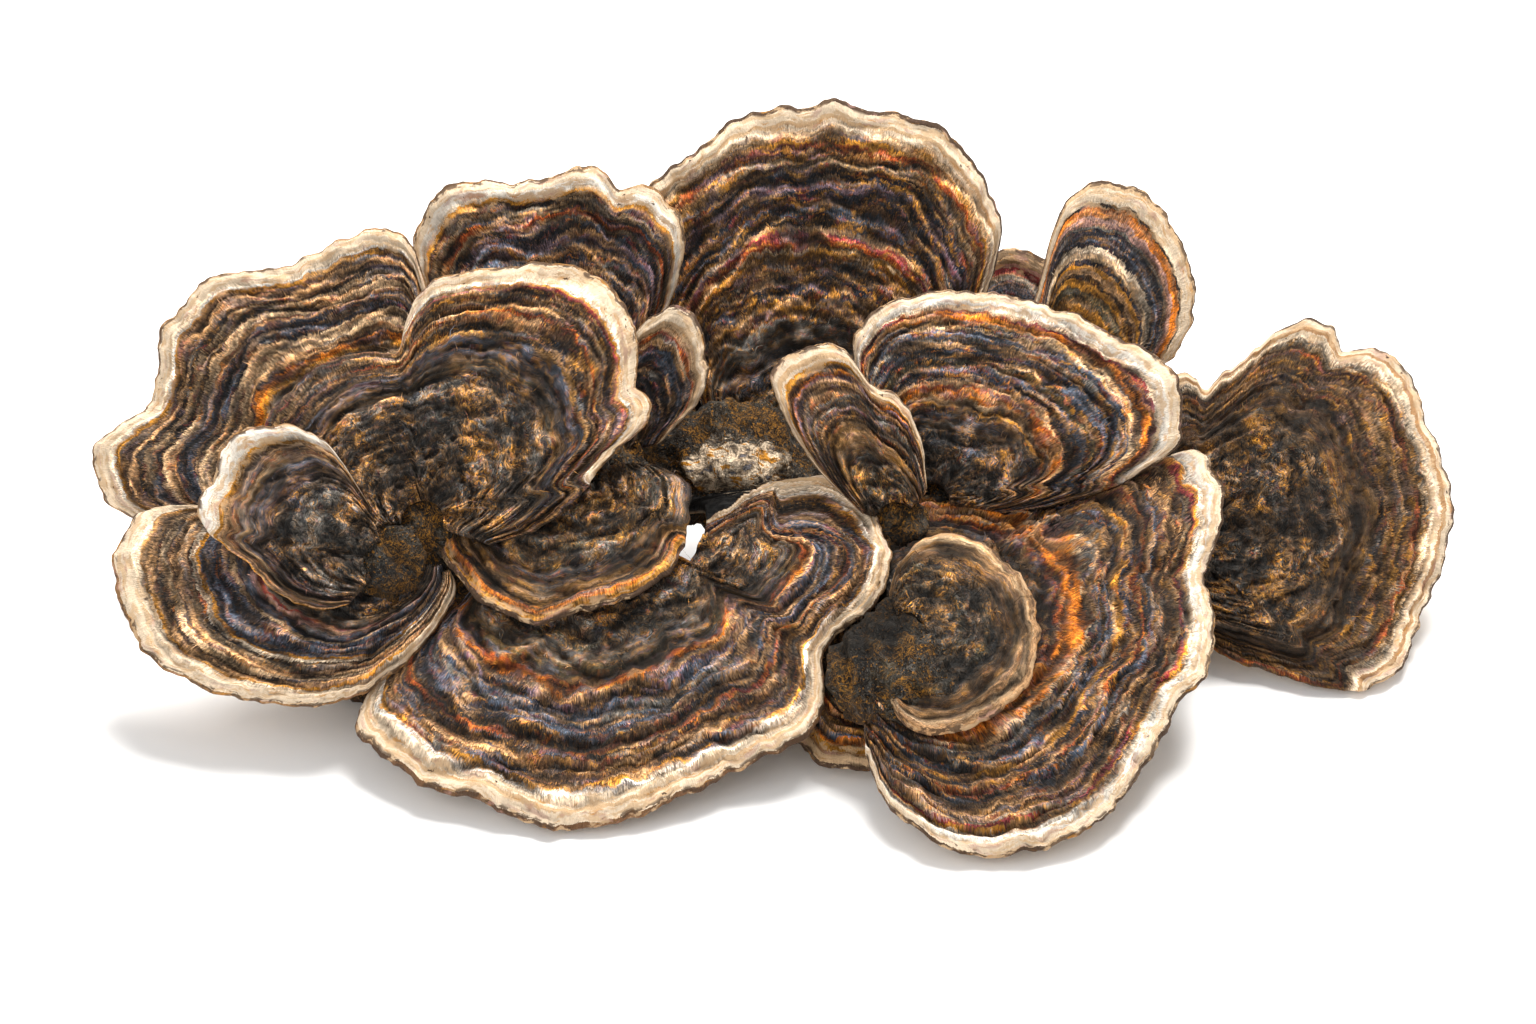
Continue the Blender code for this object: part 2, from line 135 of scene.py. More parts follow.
FELT_FROM = (10, 15)  # heights between which the base turns from wood to felt
PORE_SIZE = 0.34
BUMP_STRENGTH = 0.85
SHINE = 0.3
SHEEN = 0.05
BRIGHTNESS = 0.76  # how much light the palest parts send back, as a share
COLOURS = {
    "chalk": "FBF0E0",
    "cream": "F3DBBC",
    "sand": "DAB68C",
    "tan": "BC9064",
    "rim": "A0764A",
    "gold": "CC8A2C",
    "ochre": "8F6631",
    "brown": "765336",
    "umber": "513B2A",
    "dark": "30261F",
    "black": "151515",
    "olive": "524B36",
    "moss": "3A2E17",
    "felt": "423F3A",
    "taupe": "8C7459",
    "grey": "7C776F",
    "slate": "525C6C",
    "night": "272C38",
    "mauve": "7A6470",
    "plum": "5C4148",
    "crimson": "963036",
    "rust": "A84C20",
    "orange": "DE7A1A",
    "rose": "B98C80",
}


@dataclass
class Cap:
    """One fan-shaped cap: the shape of its CAD solid, and what grows on it."""

    name: str
    root: tuple  # x, y, z of the point that the rays spread from
    facing: tuple  # turn of the upper face to the viewer's right, and its tilt up from level
    rays: str  # the angle, the reach and any lift of each ray, anticlockwise
    bands: str  # each band's distance from the margin and its colour, from the margin to the root
    arch: float = 0.0
    ledges: tuple = ()  # (share of the ray, height) of the edge of each older growth layer
    thick: tuple = (3.0, 1.3)  # at the root and at the margin
    notch: tuple = (0.0, 0.0, ROOT_START)  # (from angle, to angle, where the rays start in between)
    foot: float = 6.0  # radius of the swelling of the base behind the root
    bare: tuple = ()  # (from angle, to angle, width) where the margin's outer bands are missing
    disc: tuple = ()  # middle to the right and up, radius, and zone, of a disc the bands run round
    lobe: tuple = ()  # middle to the right and up, and radius, of a lobe that ends inside the fan
    cut: tuple = ()  # a point to the right and up, and the slope, of a straight edge up to the lobe
    calm: float = 2.6  # width of the smooth outermost part of the margin
    ridges: float = 1.0  # height of the growth ridges, as a share of the usual height
    tone: float = 1.0  # how light the skin is inside the margin, as a share of the usual lightness
    pleats: float = 0.35  # height of the folds that run across the margin
    stains: tuple = (0.5, 0.5, 0.5, 0.5)  # how much rust, crimson, slate and gold there is
    felt: float = 0.45  # share of the way to the margin that the hub's felt reaches
    seed: int = 0  # the first of its seeds

    def __post_init__(self):
        """Turns the rays and bands from words to numbers."""
        rays = [[float(number) for number in ray.split()] for ray in self.rays.split(", ")]
        self.rays = np.array([[*ray, 0.0][:3] for ray in rays])
        bands = [band.split() for band in self.bands.split(", ")]
        self.bands = [(float(distance), name) for distance, name in bands]


CAPS = [
    Cap(
        "cap_left_back", root=(-41, 8, 18), facing=(-10, 35),
        rays="68 12, 90 19, 96 25, 98.5 28.8 0.5, 101.5 31 0.8, 108 32.2 0.6, 116 32, 123 32.2 -0.6, "
        "130 32.8, 136 34.8 0.6, 142 37.2 0.8, 149 38 0.3, 156 38.2 -0.3, 162 36.7 -0.6, 168 36.2 -0.4, "
        "173 38.3 0.4, 178 41 0.8, 184 40.4 0.4, 190 37, 195 27, 201 15",
        bands="0 rim, 0.3 cream, 2.9 chalk, 3.3 gold, 4 brown, 4.6 tan, 6.2 dark, 7 taupe, 8.2 dark, "
        "8.8 sand, 10 brown, 10.8 night, 12.2 slate, 13.2 night, 13.8 sand, 16.4 tan, 17.2 umber, "
        "17.6 orange, 18.6 gold, 19.4 taupe, 22 felt, 26 olive, 34 black",
        arch=1.5, ledges=((0.5, 0.6), (0.74, 0.6)), stains=(0.25, 0.5, 0.5, 0.2),
    ),
    Cap(
        "cap_back_left", root=(-24, 20, 22), facing=(0, 26),
        rays="35 9, 44 15, 51 21, 57 25.7 0.5, 64 27.8 0.8, 72 29 0.3, 77.5 27.7 -0.8, 84 29.9 0.5, "
        "90 29.4 0.6, 98 28.3 -0.4, 106 28.8, 112 30.2 0.6, 120 31 0.5, 126 30, 135 27.2 -0.4, 146 20, "
        "158 12",
        bands="0 rim, 0.3 cream, 1.4 chalk, 2.5 cream, 2.8 gold, 3.4 umber, 4.2 taupe, 5.4 dark, 6 rust, "
        "6.8 taupe, 7.6 night, 8.8 mauve, 9.8 slate, 10.6 brown, 11.6 night, 12.6 tan, 13.6 slate, "
        "16 night, 20 felt, 28 black",
        arch=1.0, ledges=((0.6, 0.7),), pleats=0.45, stains=(0.4, 0.6, 0.6, 0.4), felt=0.35,
    ),
    Cap(
        "cap_centre_left", root=(-40, -6.4, 22.4), facing=(0, 40),
        rays="-20 8 2, -8 12 3, 3 16.3 3.8, 12 19.7 3.6, 20 24 2.6, 24.5 28.6 1.2, 28 29.8 1, "
        "33 29.4 0.2, 37.5 31.2 -0.4, 43 33.4 -0.4, 50 35.2, 58 35.3 0.3, 65 34.2, 74 31.6 -0.3, 82 30, "
        "88.5 28.7 -0.6, 94 26.3 -2, 98.5 22.4 -4, 110 22.4 -5, 124 23.3 -5, 135 23.3 -4.5, "
        "150 22.4 -5.2, 163 17.2 -5.4, 176 10.6 -4, 190 6 -2",
        bands="0 rim, 0.3 cream, 2.8 chalk, 3.3 gold, 3.7 crimson, 4.2 umber, 5.4 taupe, 6.4 tan, "
        "7.2 umber, 7.8 rust, 8.2 brown, 9.4 dark, 10.4 ochre, 11.4 slate, 12.6 night, 13.6 slate, "
        "14.8 olive, 16.4 night, 18 grey, 19.6 dark, 21.6 ochre, 22.4 felt, 25 felt, 34 black",
        arch=1.5, ledges=((0.45, 0.7), (0.7, 0.6)), thick=(3.0, 1.4), tone=0.92,
        bare=((-40, 12, 6), (98, 200, 3.6)), pleats=0.4, stains=(0.35, 0.45, 0.4, 0.6), felt=0.6,
    ),
    Cap(
        "cap_left_small", root=(-44, -12.8, 21.2), facing=(0, 43),
        rays="106 6, 112 10.5, 117 15.8 0.2, 124 19.2 0.4, 133 21.6 0.7, 141 23.2 0.5, 148.5 23.1, "
        "155 22.3 -0.3, 160 22.8, 166 22.4, 173 19.4, 180 16, 187 14.6, 196 13, 206 11.2, 217 9.2, 230 6.5",
        bands="0 rim, 0.3 chalk, 2.4 cream, 2.8 gold, 3.4 tan, 4.6 umber, 5.6 taupe, 7 slate, 9 mauve, "
        "10.5 night, 13 grey, 17 felt, 24 black",
        ledges=((0.55, 0.5),), thick=(2.2, 1.2), foot=4.5, bare=((170, 240, 3.2),), pleats=0.3,
        stains=(0.4, 0.4, 0.5, 0.4), felt=0.7,
    ),
    Cap(
        "cap_left_front", root=(-43, -8.2, 17.8), facing=(0, 55),
        rays="155 12, 161 21, 164 27, 168 31 0.5, 174 32.6 0.8, 184 33 0.4, 191 32.3, 198 31.2 0.4, "
        "205 30 0.8, 213 27.6 0.8, 222 25 0.5, 231 22.4 0.5, 240 20.6 0.6, 249 18.6 0.4, 258 16, "
        "270 13.2, 288 10.6 0.6, 312 8.5 1, 336 7.4 1, 350 6 0.5",
        bands="0 rim, 0.3 cream, 3.4 gold, 4.1 tan, 5 umber, 5.6 sand, 6.6 brown, 7.2 tan, 8.2 taupe, "
        "9 dark, 9.6 cream, 10.4 gold, 10.9 slate, 13 night, 13.8 slate, 14.6 sand, 15.4 slate, 17 rose, "
        "18 crimson, 18.6 grey, 20 felt, 23 slate, 30 black",
        arch=1.0, ledges=((0.6, 0.7),), bare=((345, 360, 4),), pleats=0.3, stains=(0.4, 0.3, 0.4, 0.3),
    ),
    Cap(
        "cap_front", root=(-20, -0.3, 18.5), facing=(0, 65),
        rays="205 10, 213 20 -0.5, 218.5 28.5 -1, 221 35 -2, 223.5 38 -2, 229.5 39 -0.8, 240 40.1, "
        "250 39.8 0.4, 257 40.8 0.6, 264 41.4 0.4, 271 40.5, 277 40 0.4, 283 38.7 0.6, 290 38 0.3, "
        "298 37.2, 305 38 0.6, 311 38 0.8, 316 36.5 0.4, 320.5 34.5, 326.5 32 0.5, 330.5 32.2 1, "
        "335.5 34 2, 341.5 35.4 2.8, 347 35.2 3, 353 34 3, 359.5 32.2 2.6, 366 29.7 2, 371.5 27.5 1.4, "
        "374 20 1, 376 12.5 0.5",
        bands="0 brown, 0.35 cream, 1.5 sand, 2 cream, 3.4 chalk, 4 gold, 4.7 umber, 5.4 brown, 6.4 tan, "
        "7 brown, 8.2 dark, 9 rust, 9.8 umber, 10.8 night, 11.6 slate, 13.4 grey, 14.2 slate, 15.8 mauve, "
        "16.4 tan, 17.2 orange, 18 rust, 18.6 umber, 19.6 olive, 21.4 grey, 23.4 olive, 26 felt, 34 black",
        arch=1.0, ledges=((0.62, 0.6), (0.8, 0.4)), thick=(3.2, 1.4), notch=(322, 377, 12.8),
        lobe=(24.0, -4.7, 10.9), cut=(12.7, -0.4, 0.6), pleats=0.5, stains=(0.35, 0.4, 0.6, 0.45), felt=0.5,
    ),
    Cap(
        "cap_front_inner", root=(-22, 0, 24.5), facing=(0, 66),
        rays="170 7, 181 13 -0.3, 192 16.4 -0.4, 203 18, 214 19, 225 19.5, 236 20.2 0.4, 247 20.8 0.4, "
        "257 20.6, 268 19, 280 18 0.4, 292 17.6 0.4, 306 17, 320 15.6, 331 14.4 0.5, 342 13.5 0.8, "
        "353 13 1, 363 10.5 0.8, 375 7",
        bands="0 umber, 0.5 gold, 1.3 orange, 2 brown, 2.6 dark, 3.3 tan, 4.1 ochre, 4.8 umber, "
        "5.6 night, 6.8 slate, 7.6 olive, 8.6 grey, 9.6 olive, 11 felt, 12.4 olive, 14 black, 16 olive, "
        "18 felt",
        ledges=((0.6, 0.6),), thick=(2.8, 1.2), calm=0.4, bare=((326, 390, 4.5),),
        stains=(0.6, 0.5, 0.4, 0.7), felt=0.75,
    ),
    Cap(
        "cap_back", root=(3, 20, 8), facing=(0, 26),
        rays="36 16, 42 26, 46 32, 49.5 38 0.4, 53 42.5 0.6, 57 45 0.3, 64 48.8 -0.5, 68 50 -0.3, "
        "73 50.4 0.5, 80.5 49.8 0.2, 84.5 50.9 0.8, 88 49.3 0.2, 92 49.3 -0.4, 99 48.4, 104 46 0.5, "
        "110 44.5 0.3, 114 43.4, 120 40.5 -0.4, 128 34, 134 26, 140 16",
        bands="0 umber, 0.5 cream, 1.8 sand, 2.4 cream, 3.4 sand, 4.3 gold, 5 rust, 5.8 brown, 6.8 taupe, "
        "7.8 umber, 8.8 night, 10 mauve, 11.2 night, 12.4 brown, 13.4 slate, 14.8 dark, 16 tan, "
        "16.6 crimson, 17.6 rust, 18.4 sand, 19 gold, 19.8 brown, 21.4 umber, 22.8 night, 24.6 umber, "
        "25.4 gold, 26.4 brown, 27.6 grey, 31 slate, 36 olive, 46 black",
        arch=1.5, ledges=((0.5, 0.9), (0.68, 0.9)), thick=(3.6, 1.4), pleats=0.45,
        stains=(0.55, 0.5, 0.35, 0.75), felt=0.4,
    ),
    Cap(
        "cap_back_right", root=(34, 26, 24), facing=(10, 26),
        rays="-25 6, -13 10, 1 16, 11 18.5 0.4, 21 20.6 0.4, 32 22.4, 41.5 23.6 -0.3, 51.5 24.8, "
        "60 24.8 0.4, 69 24.2 0.4, 77 21.9, 81 19.3, 84 16.2, 87 13, 100 8, 115 5",
        bands="0 umber, 0.3 sand, 0.9 cream, 2.9 dark, 3.3 orange, 4.6 rose, 5.8 grey, 6.3 night, "
        "7.9 slate, 8.3 night, 9 cream, 10 sand, 10.8 night, 11.6 gold, 12.4 tan, 13.2 dark, 14 gold, "
        "15.2 olive, 17 gold, 18.5 rust, 20 umber",
        arch=1.0, ledges=((0.6, 0.5),), thick=(2.6, 1.2), ridges=0.3, pleats=0.2,
        stains=(0.15, 0.2, 0.0, 0.5), felt=0.2,
    ),
    Cap(
        "cap_back_tiny", root=(28, 32, 20), facing=(0, 26),
        rays="40 8, 50 12, 60 15, 70 16 0.3, 80 15.8, 88 15.5, 98 14.5, 110 10",
        bands="0 umber, 0.3 taupe, 2.2 rose, 2.8 crimson, 3.8 grey, 5 slate, 7.5 taupe, 10 umber",
        thick=(2.4, 1.2), ridges=0.5, pleats=0.2, stains=(0.3, 0.6, 0.3, 0.2), felt=0.2,
    ),
    Cap(
        "cap_centre_right", root=(19, 3.2, 19), facing=(0, 40),
        rays="-8 8, 0 15.5, 8 25, 12.5 29.7, 17 31.6 0.4, 25.5 33.1 0.8, 31.5 33 0.4, 41 30.6 -0.4, "
        "52 29, 59 27.9 0.5, 66 27.2 0.2, 75.5 26.6 -0.4, 84 26, 92 25.5 0.5, 101 24.7 0.3, 109 23.2, "
        "115 21, 119 17.8, 131 11.4, 145 7",
        bands="0 umber, 0.4 cream, 1.8 chalk, 3.1 cream, 3.6 crimson, 4.2 orange, 5.3 taupe, 6.6 sand, "
        "7.2 slate, 8.6 grey, 9.4 night, 11 slate, 12 black, 13 olive, 14 slate, 15 night, 16.2 tan, "
        "17.2 rust, 17.8 orange, 19 sand, 19.7 gold, 20.3 black, 21.4 slate, 22.8 grey, 24 night, "
        "25.2 slate, 27 black",
        arch=1.5, ledges=((0.52, 0.9), (0.76, 0.5)), thick=(3.2, 1.4), foot=4.2, bare=((-20, 6, 6),),
        pleats=0.45, stains=(0.6, 0.4, 0.5, 0.6), felt=0.35,
    ),
    Cap(
        "cap_tongue", root=(15, -2.6, 20), facing=(0, 35),
        rays="45 5, 62 7.5, 76 11.2, 86 14.2 0.3, 92 15.5 0.3, 98 16.1, 102 18, 106 21.2 0.3, "
        "112 22.9 0.5, 119 23.4 0.3, 125 23.2, 131 22.3, 137 17.5, 143 12.6, 152 7, 164 3.8",
        bands="0 umber, 0.3 cream, 1.4 sand, 2.2 cream, 2.6 gold, 3.2 brown, 3.8 orange, 4.4 mauve, "
        "5.4 brown, 7 grey, 9 umber, 12 ochre, 16 olive, 22 black",
        arch=1.0, ledges=((0.6, 0.5),), thick=(2.4, 1.2), foot=4.2, pleats=0.45,
        stains=(0.6, 0.5, 0.3, 0.5), felt=0.4,
    ),
    Cap(
        "cap_right_front", root=(15.6, -15, 12), facing=(0, 70),
        rays="-118 8, -110 13.5, -103 18.6 0.3, -96 23.2 0.5, -89 26.4 0.5, -82 29.5 0.3, -76 31.2, "
        "-70 32, -58 33.4 0.4, -51 33.6 0.5, -45 33.2 0.3, -33 32.5, -24 32.6 0.3, -16 33 0.6, "
        "-11 35 0.8, 0 36 0.3, 9 36.4 -0.4, 15 36.6 -0.6, 21 40.2, 28.5 43.8 0.4, 32.5 45, 39 45.2 -1, "
        "43 38 -2.2, 46.5 29 -2.2, 53 23.5 -1.6, 62 21.6 -1, 73 20.9 -0.8, 85 20.4 -0.6, 94 17.8 -0.4, "
        "102 14, 110 8",
        bands="0 umber, 0.35 cream, 1.8 chalk, 3.4 cream, 3.9 gold, 4.6 crimson, 5.4 taupe, 6.4 brown, "
        "7.2 umber, 8 tan, 9 brown, 9.8 slate, 10.8 dark, 11.6 rust, 12.4 brown, 13.4 night, 14.4 gold, "
        "15.4 tan, 16.2 slate, 17.4 black, 18.2 slate, 19.2 grey, 19.8 night, 20.3 sand, 20.8 orange, "
        "23.6 rust, 24.4 plum, 25.2 dark, 27 felt, 31 black",
        arch=0.5, ledges=((0.6, 0.6), (0.8, 0.5)), thick=(3.2, 1.4), disc=(4.5, 2.6, 15.0, 22.6), tone=0.74,
        bare=((47.5, 140, 19.5),), pleats=0.55, stains=(0.6, 0.4, 0.45, 0.6), felt=0.4,
    ),
    Cap(
        "cap_right_inner", root=(15.6, -19.3, 15), facing=(0, 70),
        rays="-112 6, -100 9.5, -88 12.6, -74 14 0.3, -59 14.6 0.4, -37 15.1, -15 15.3, 8 15.7 0.3, "
        "24 16 0.3, 42 16.2, 62 16.4, 79 14.6, 89 11.5, 99 8, 109 5",
        bands="0 tan, 1.1 sand, 2 tan, 3 taupe, 3.8 brown, 4.8 umber, 5.6 felt, 7 olive, 8.2 umber, "
        "9.4 black, 10.6 olive, 12 felt, 14 black",
        ledges=((0.72, 0.5),), thick=(2.6, 1.2), calm=0.4, tone=0.7, pleats=0.25,
        stains=(0.2, 0.2, 0.3, 0.8), felt=0.8,
    ),
    Cap(
        "cap_under", root=(10, -9, 6), facing=(0, 78),
        rays="225 9, 238 14, 250 16.6, 257 18.4, 264 18.6, 273 19, 283 18.5, 295 17, 310 12, 325 8",
        bands="0 umber, 0.4 sand, 1.8 tan, 2.4 gold, 3.4 orange, 4.2 slate, 5.4 ochre, 7.5 rust, "
        "10 olive, 14 black",
        thick=(2.6, 1.2), pleats=0.4, stains=(0.7, 0.3, 0.3, 0.8), felt=0.3,
    ),
    Cap(
        "cap_curl", root=(-20, 12, 20), facing=(0, 30),
        rays="15 7, 25 10.5, 31 13.8, 38 16.3 0.3, 47 18.2 0.3, 54 20, 60 20.7, 66 20 0.3, 70 18.5, "
        "78 14, 90 8",
        bands="0 umber, 0.3 cream, 2.2 sand, 3 tan, 3.6 rust, 4.2 taupe, 5.6 slate, 7.6 night, 12 black",
        thick=(2.4, 1.2), ridges=0.6, pleats=0.4, stains=(0.3, 0.4, 0.4, 0.2), felt=0.3,
    ),
    Cap(
        "cap_right", root=(50, 6, 9.8), facing=(5, 50),
        rays="-92 8, -74 13.4 1, -60 18 2.4, -51 23.2 3.5, -44 26.8 4, -37 28.6 3.6, -31 29.2 2.6, "
        "-25 29 1.4, -15 29.7, -5 31.5, 3 33 0.4, 10 34 0.6, 18 34.9, 28 35.8 -0.4, 36 37.4, 41 37.2 0.4, "
        "45 36.2 0.2, 49 34.4 -0.6, 53.5 35.6, 57.5 35 0.5, 63 31.8 0.3, 68 27, 73 24.2, 77.5 21.8 -0.6, "
        "81 22.8, 86 23.4 0.3, 93 21, 100 14",
        bands="0 umber, 0.35 cream, 1.5 tan, 2.2 cream, 4.2 sand, 4.8 ochre, 5.3 rust, 6.2 brown, "
        "7.2 ochre, 8.4 brown, 9.4 ochre, 10.2 brown, 11.6 umber, 13 ochre, 13.8 brown, 15.4 umber, "
        "16.8 brown, 18 ochre, 18.8 dark, 21 black, 23 dark, 26 black, 32 black",
        arch=2.0, ledges=((0.6, 0.7),), thick=(3.4, 1.4), ridges=0.75, tone=0.52,
        bare=((-100, -46, 5), (96, 110, 4)), pleats=0.6, stains=(0.55, 0.3, 0.0, 0.9), felt=0.6,
    ),
]

for number, cap in enumerate(CAPS, 1):
    cap.seed = SEEDS * number

# The swellings that the base is fused from, as centre and half width, half depth and half height.
BASE_LUMPS = [
    ((-44, -3, 8), (11, 12, 12)),
    ((-34, 1, 9), (13, 14, 14)),
    ((-22, 8, 10), (10.4, 14, 14)),
    ((-8, 17, 15), (12, 6, 6)),
    ((-4, 19.5, 17), (11, 4.5, 6)),
    ((-3.5, 13.5, 18.8), (6.5, 5.5, 2.6)),
    ((3, 16, 12), (10, 9, 7)),
    ((12, 4, 6.5), (12, 19, 8.5)),
    ((15.4, -21, 11.4), (8.6, 8.2, 5.6)),
    ((20, 9, 8), (13, 16, 9)),
    ((31, 16, 11), (12, 14, 13)),
    ((44, 7, 7), (12, 9, 9)),
]


def add_object(name, data):
    made = bpy.data.objects.new(name, data)
    bpy.context.scene.collection.objects.link(made)
    return made


def noise(x, y, seed):
    """Smooth random values, about -1 to 1, over a plane whose bumps are about one unit wide."""
    side = 256
    turn = np.random.default_rng(seed).uniform(0, 2 * math.pi, (side, side))
    x, y = np.broadcast_arrays(np.asarray(x, float), np.asarray(y, float))
    left, low = np.floor(x).astype(int), np.floor(y).astype(int)
    dx, dy = x - left, y - low
    total = 0
    for i in (0, 1):
        for j in (0, 1):
            angle = turn[(left + i) % side, (low + j) % side]
            slope = (dx - i) * np.cos(angle) + (dy - j) * np.sin(angle)
            total = total + slope * fade(1 - abs(dx - i)) * fade(1 - abs(dy - j))
    return 1.6 * total


def fade(t):
    """An S curve from 0 to 1."""
    t = np.clip(t, 0, 1)
    return t * t * t * (t * (t * 6 - 15) + 10)


def rough(x, y, seed, octaves):
    """Noise with finer noise on top of it."""
    return sum(noise(x * 2**k, y * 2**k, seed + k) / 2**k for k in range(octaves))


def frame_of(cap):
    """The unit vectors of a cap's frame: along it to the right, up along it, and out of it."""
    turn, tilt = np.radians(cap.facing)
    level = math.cos(tilt)
    out = np.array([math.sin(turn) * level, -math.cos(turn) * level, math.sin(tilt)])
    right = np.array([math.cos(turn), math.sin(turn), 0.0])
    return right, np.cross(out, right), out


def smoothed(values, width):
    """These values, each averaged with its neighbours up to this many places away."""
    bell = np.hanning(2 * width + 3)[1:-1]
    return np.convolve(np.pad(values, width, mode="edge"), bell / bell.sum(), mode="valid")


def through(at, knots, values):
    """A smooth curve through these values."""
    slope = np.gradient(values, knots)
    i = np.clip(np.searchsorted(knots, at) - 1, 0, len(knots) - 2)
    span = knots[i + 1] - knots[i]
    t = (at - knots[i]) / span
    start = (2 * t**3 - 3 * t**2 + 1) * values[i] + (t**3 - 2 * t**2 + t) * span * slope[i]
    return start + (3 * t**2 - 2 * t**3) * values[i + 1] + (t**3 - t**2) * span * slope[i + 1]


def rim_share(cap):
    """The share of a cap's mean ray that its rounded rim takes up."""
    return ROUNDING / cap.rays[:, 1].mean()


def full_reach(cap):
    return float(cap.rays[:, 1].max())


def margin_angles(cap):
    """Angles at equal steps along a cap's margin, and how far along it each one is."""
    angle, reach, _ = cap.rays.T
    fine = np.linspace(angle[0], angle[-1], 4000)
    run = through(fine, angle, reach)
    x, y = run * np.cos(np.radians(fine)), run * np.sin(np.radians(fine))
    along = np.concatenate([[0], np.cumsum(np.hypot(np.diff(x), np.diff(y)))])
    arc = np.linspace(0, along[-1], COARSE * math.ceil(along[-1] / CELL / COARSE) + 1)
    return np.interp(arc, along, fine), arc


def zones(cap, angle, depth, drift, x, y):
    """The distances from the margin that the bands follow, bent by noise, discs, lobes and bare edges."""
    zone = depth + (0.2 + 0.8 * fade((depth - 1) / 7)) * drift
    for low, high, width in cap.bare:
        zone = zone + width * fade((angle - low) / 8 + 0.5) * fade((high - angle) / 8 + 0.5)
    if cap.disc:
        middle_x, middle_y, radius, distance = cap.disc
        off = np.hypot(x - middle_x, y - middle_y)
        zone = zone + fade((radius + 7 - off) / 7) * (distance + radius - off + 0.4 * drift - zone)
    if cap.lobe:
        middle_x, middle_y, radius = cap.lobe
        off = np.hypot(x - middle_x, y - middle_y) + 0.3 * drift
        above = fade((y - middle_y + 2) / 5) * fade((x - middle_x + 7) / 5)
        zone = zone + above * (np.minimum(zone, np.maximum(radius - off, LOBE_END)) - zone)
        edge_x, edge_y, slope = cap.cut
        below = edge_y + slope * (x - edge_x) - y - 0.3 * drift
        left = (x > edge_x - 3) & (x < middle_x) & (y > edge_y - 3)
        steep = 1 + 5 * fade((middle_x - x) / 7)
        zone = np.where(left, np.minimum(zone, np.maximum(steep * below, LOBE_END)), zone)
    return zone


def relief_of(cap, share, arc, run, depth, zone, x, y):
    """How strong the growth relief is at each point, and how far it and finer bumps raise the skin."""
    seed = cap.seed
    hub = fade((cap.felt - share) / 0.2 + 0.5)
    skin = fade(depth / 2.0)
    combed = noise(arc / FIBRE_WIDTH, run / FIBRE_LENGTH, seed + 9)
    fibre = combed * (1 - hub) + hub * noise(x / FIBRE_WIDTH, y / 2, seed + 9)
    phase = zone / STEP_WIDTH + 0.9 * noise(arc / 14, zone / 5, seed + 6) + 0.1 * fibre
    ring = np.floor(phase)
    step = phase - ring
    crest = 0.75 + 0.65 * noise(0.73 * ring, arc / 8, seed + 7)
    terrace = 1.7 * fade(step / 0.32) * (1 - step) ** 1.2 * crest
    ridge = noise(zone / RIDGE_WIDTH, arc / 4, seed + 8)
    lump = rough(x / 2.1, y / 1.8, seed + 10, 3)
    layer = zone / FOLD_WIDTH + 0.8 * noise(arc / 17, zone / 9, seed + 14) + 0.04 * fibre
    fold = layer - np.floor(layer)
    fold = fade(fold / 0.16) * (1 - fold) * (1 + 1.1 * noise(0.61 * np.floor(layer), arc / 9, seed + 15))
    relief = STEP_HEIGHT * (terrace - 0.45) + RIDGE_HEIGHT * ridge + FOLD_HEIGHT * (fold - 0.4)
    relief = relief * (1 - 0.3 * hub) + 0.5 * hub * lump
    relief = relief * cap.ridges
    bumps = skin * (0.38 * relief + 0.06 * fibre + 0.14 * lump + 0.5 * cap.ridges * fold) + 0.03 * fibre
    ribs = 0.1 * noise(arc / 0.9, depth / 4, seed + 17) + 0.1 * rough(arc / 1.7, depth / 1.3, seed + 18, 2)
    return relief, bumps + ribs * (1 - 0.6 * skin) - LOBE_DROP * fade((-0.4 - zone) / 1.2)


def surface(cap, share, angle, arc):
    """Everything about a cap's sheet at these shares of its rays: points, distances and relief."""
    knots, reach, lift = cap.rays.T
    far = through(angle, knots, reach)
    even = through(angle, knots, smoothed(reach, 2))
    inside = fade((angle - cap.notch[0]) / 6) * fade((cap.notch[1] - angle) / 6)
    start = ROOT_START + (cap.notch[2] - ROOT_START) * inside
    seed = cap.seed

    scallop = 0.4 * noise(arc / 3.1, 0.3, seed) + 0.25 * noise(arc / 1.2, 0.7, seed + 1)
    far = far + scallop * np.minimum(1, far / 15)
    run = start + share * (even - start) + (far - even) * share**LOBE_POWER
    x, y = run * np.cos(np.radians(angle)), run * np.sin(np.radians(angle))
    depth = (1 - share) * full_reach(cap)
    drift = 0.9 * rough(arc / 13, depth / 9, seed + 2, 2) + 0.2 * noise(arc / 1.9, depth / 1.7, seed + 4)
    zone = zones(cap, angle, depth, drift, x, y)
    relief, bumps = relief_of(cap, share, arc, run, depth, zone, x, y)

    pleats = rough(arc / 4.2, run / 26, seed + 5, 2) * cap.pleats * fade(share * 1.6 - 0.6)
    pleats = pleats + 0.13 * noise(arc / 1.3, run / 12, seed + 13) * fade(share * 3 - 2)
    height = cap.arch * np.sin(math.pi * share) + through(angle, knots, lift) * share**2 + pleats
    right, up, out = frame_of(cap)
    flat = x[..., None] * right + y[..., None] * up
    middle = np.array(cap.root) - CLUMP_MIDDLE + flat + height[..., None] * out
    return middle, run, zone, relief, bumps


def thickness_of(cap, share, columns):
    """How thick the sheet is at each point: full at the root, rounded off at the rim and sides."""
    root, margin = cap.thick
    rim = rim_share(cap)
    inward = np.clip((1 - share) / rim, 0, 1)
    thick = (margin + (root - margin) * (1 - share) ** THINNING) * np.sqrt(1 - (1 - inward) ** 2)
    place = np.linspace(0, 1, columns)
    inward = np.clip(np.minimum(place, 1 - place) * columns * CELL / SIDE_ROUNDING, 0, 1)
    return thick * np.sqrt(1 - (1 - inward) ** 2)


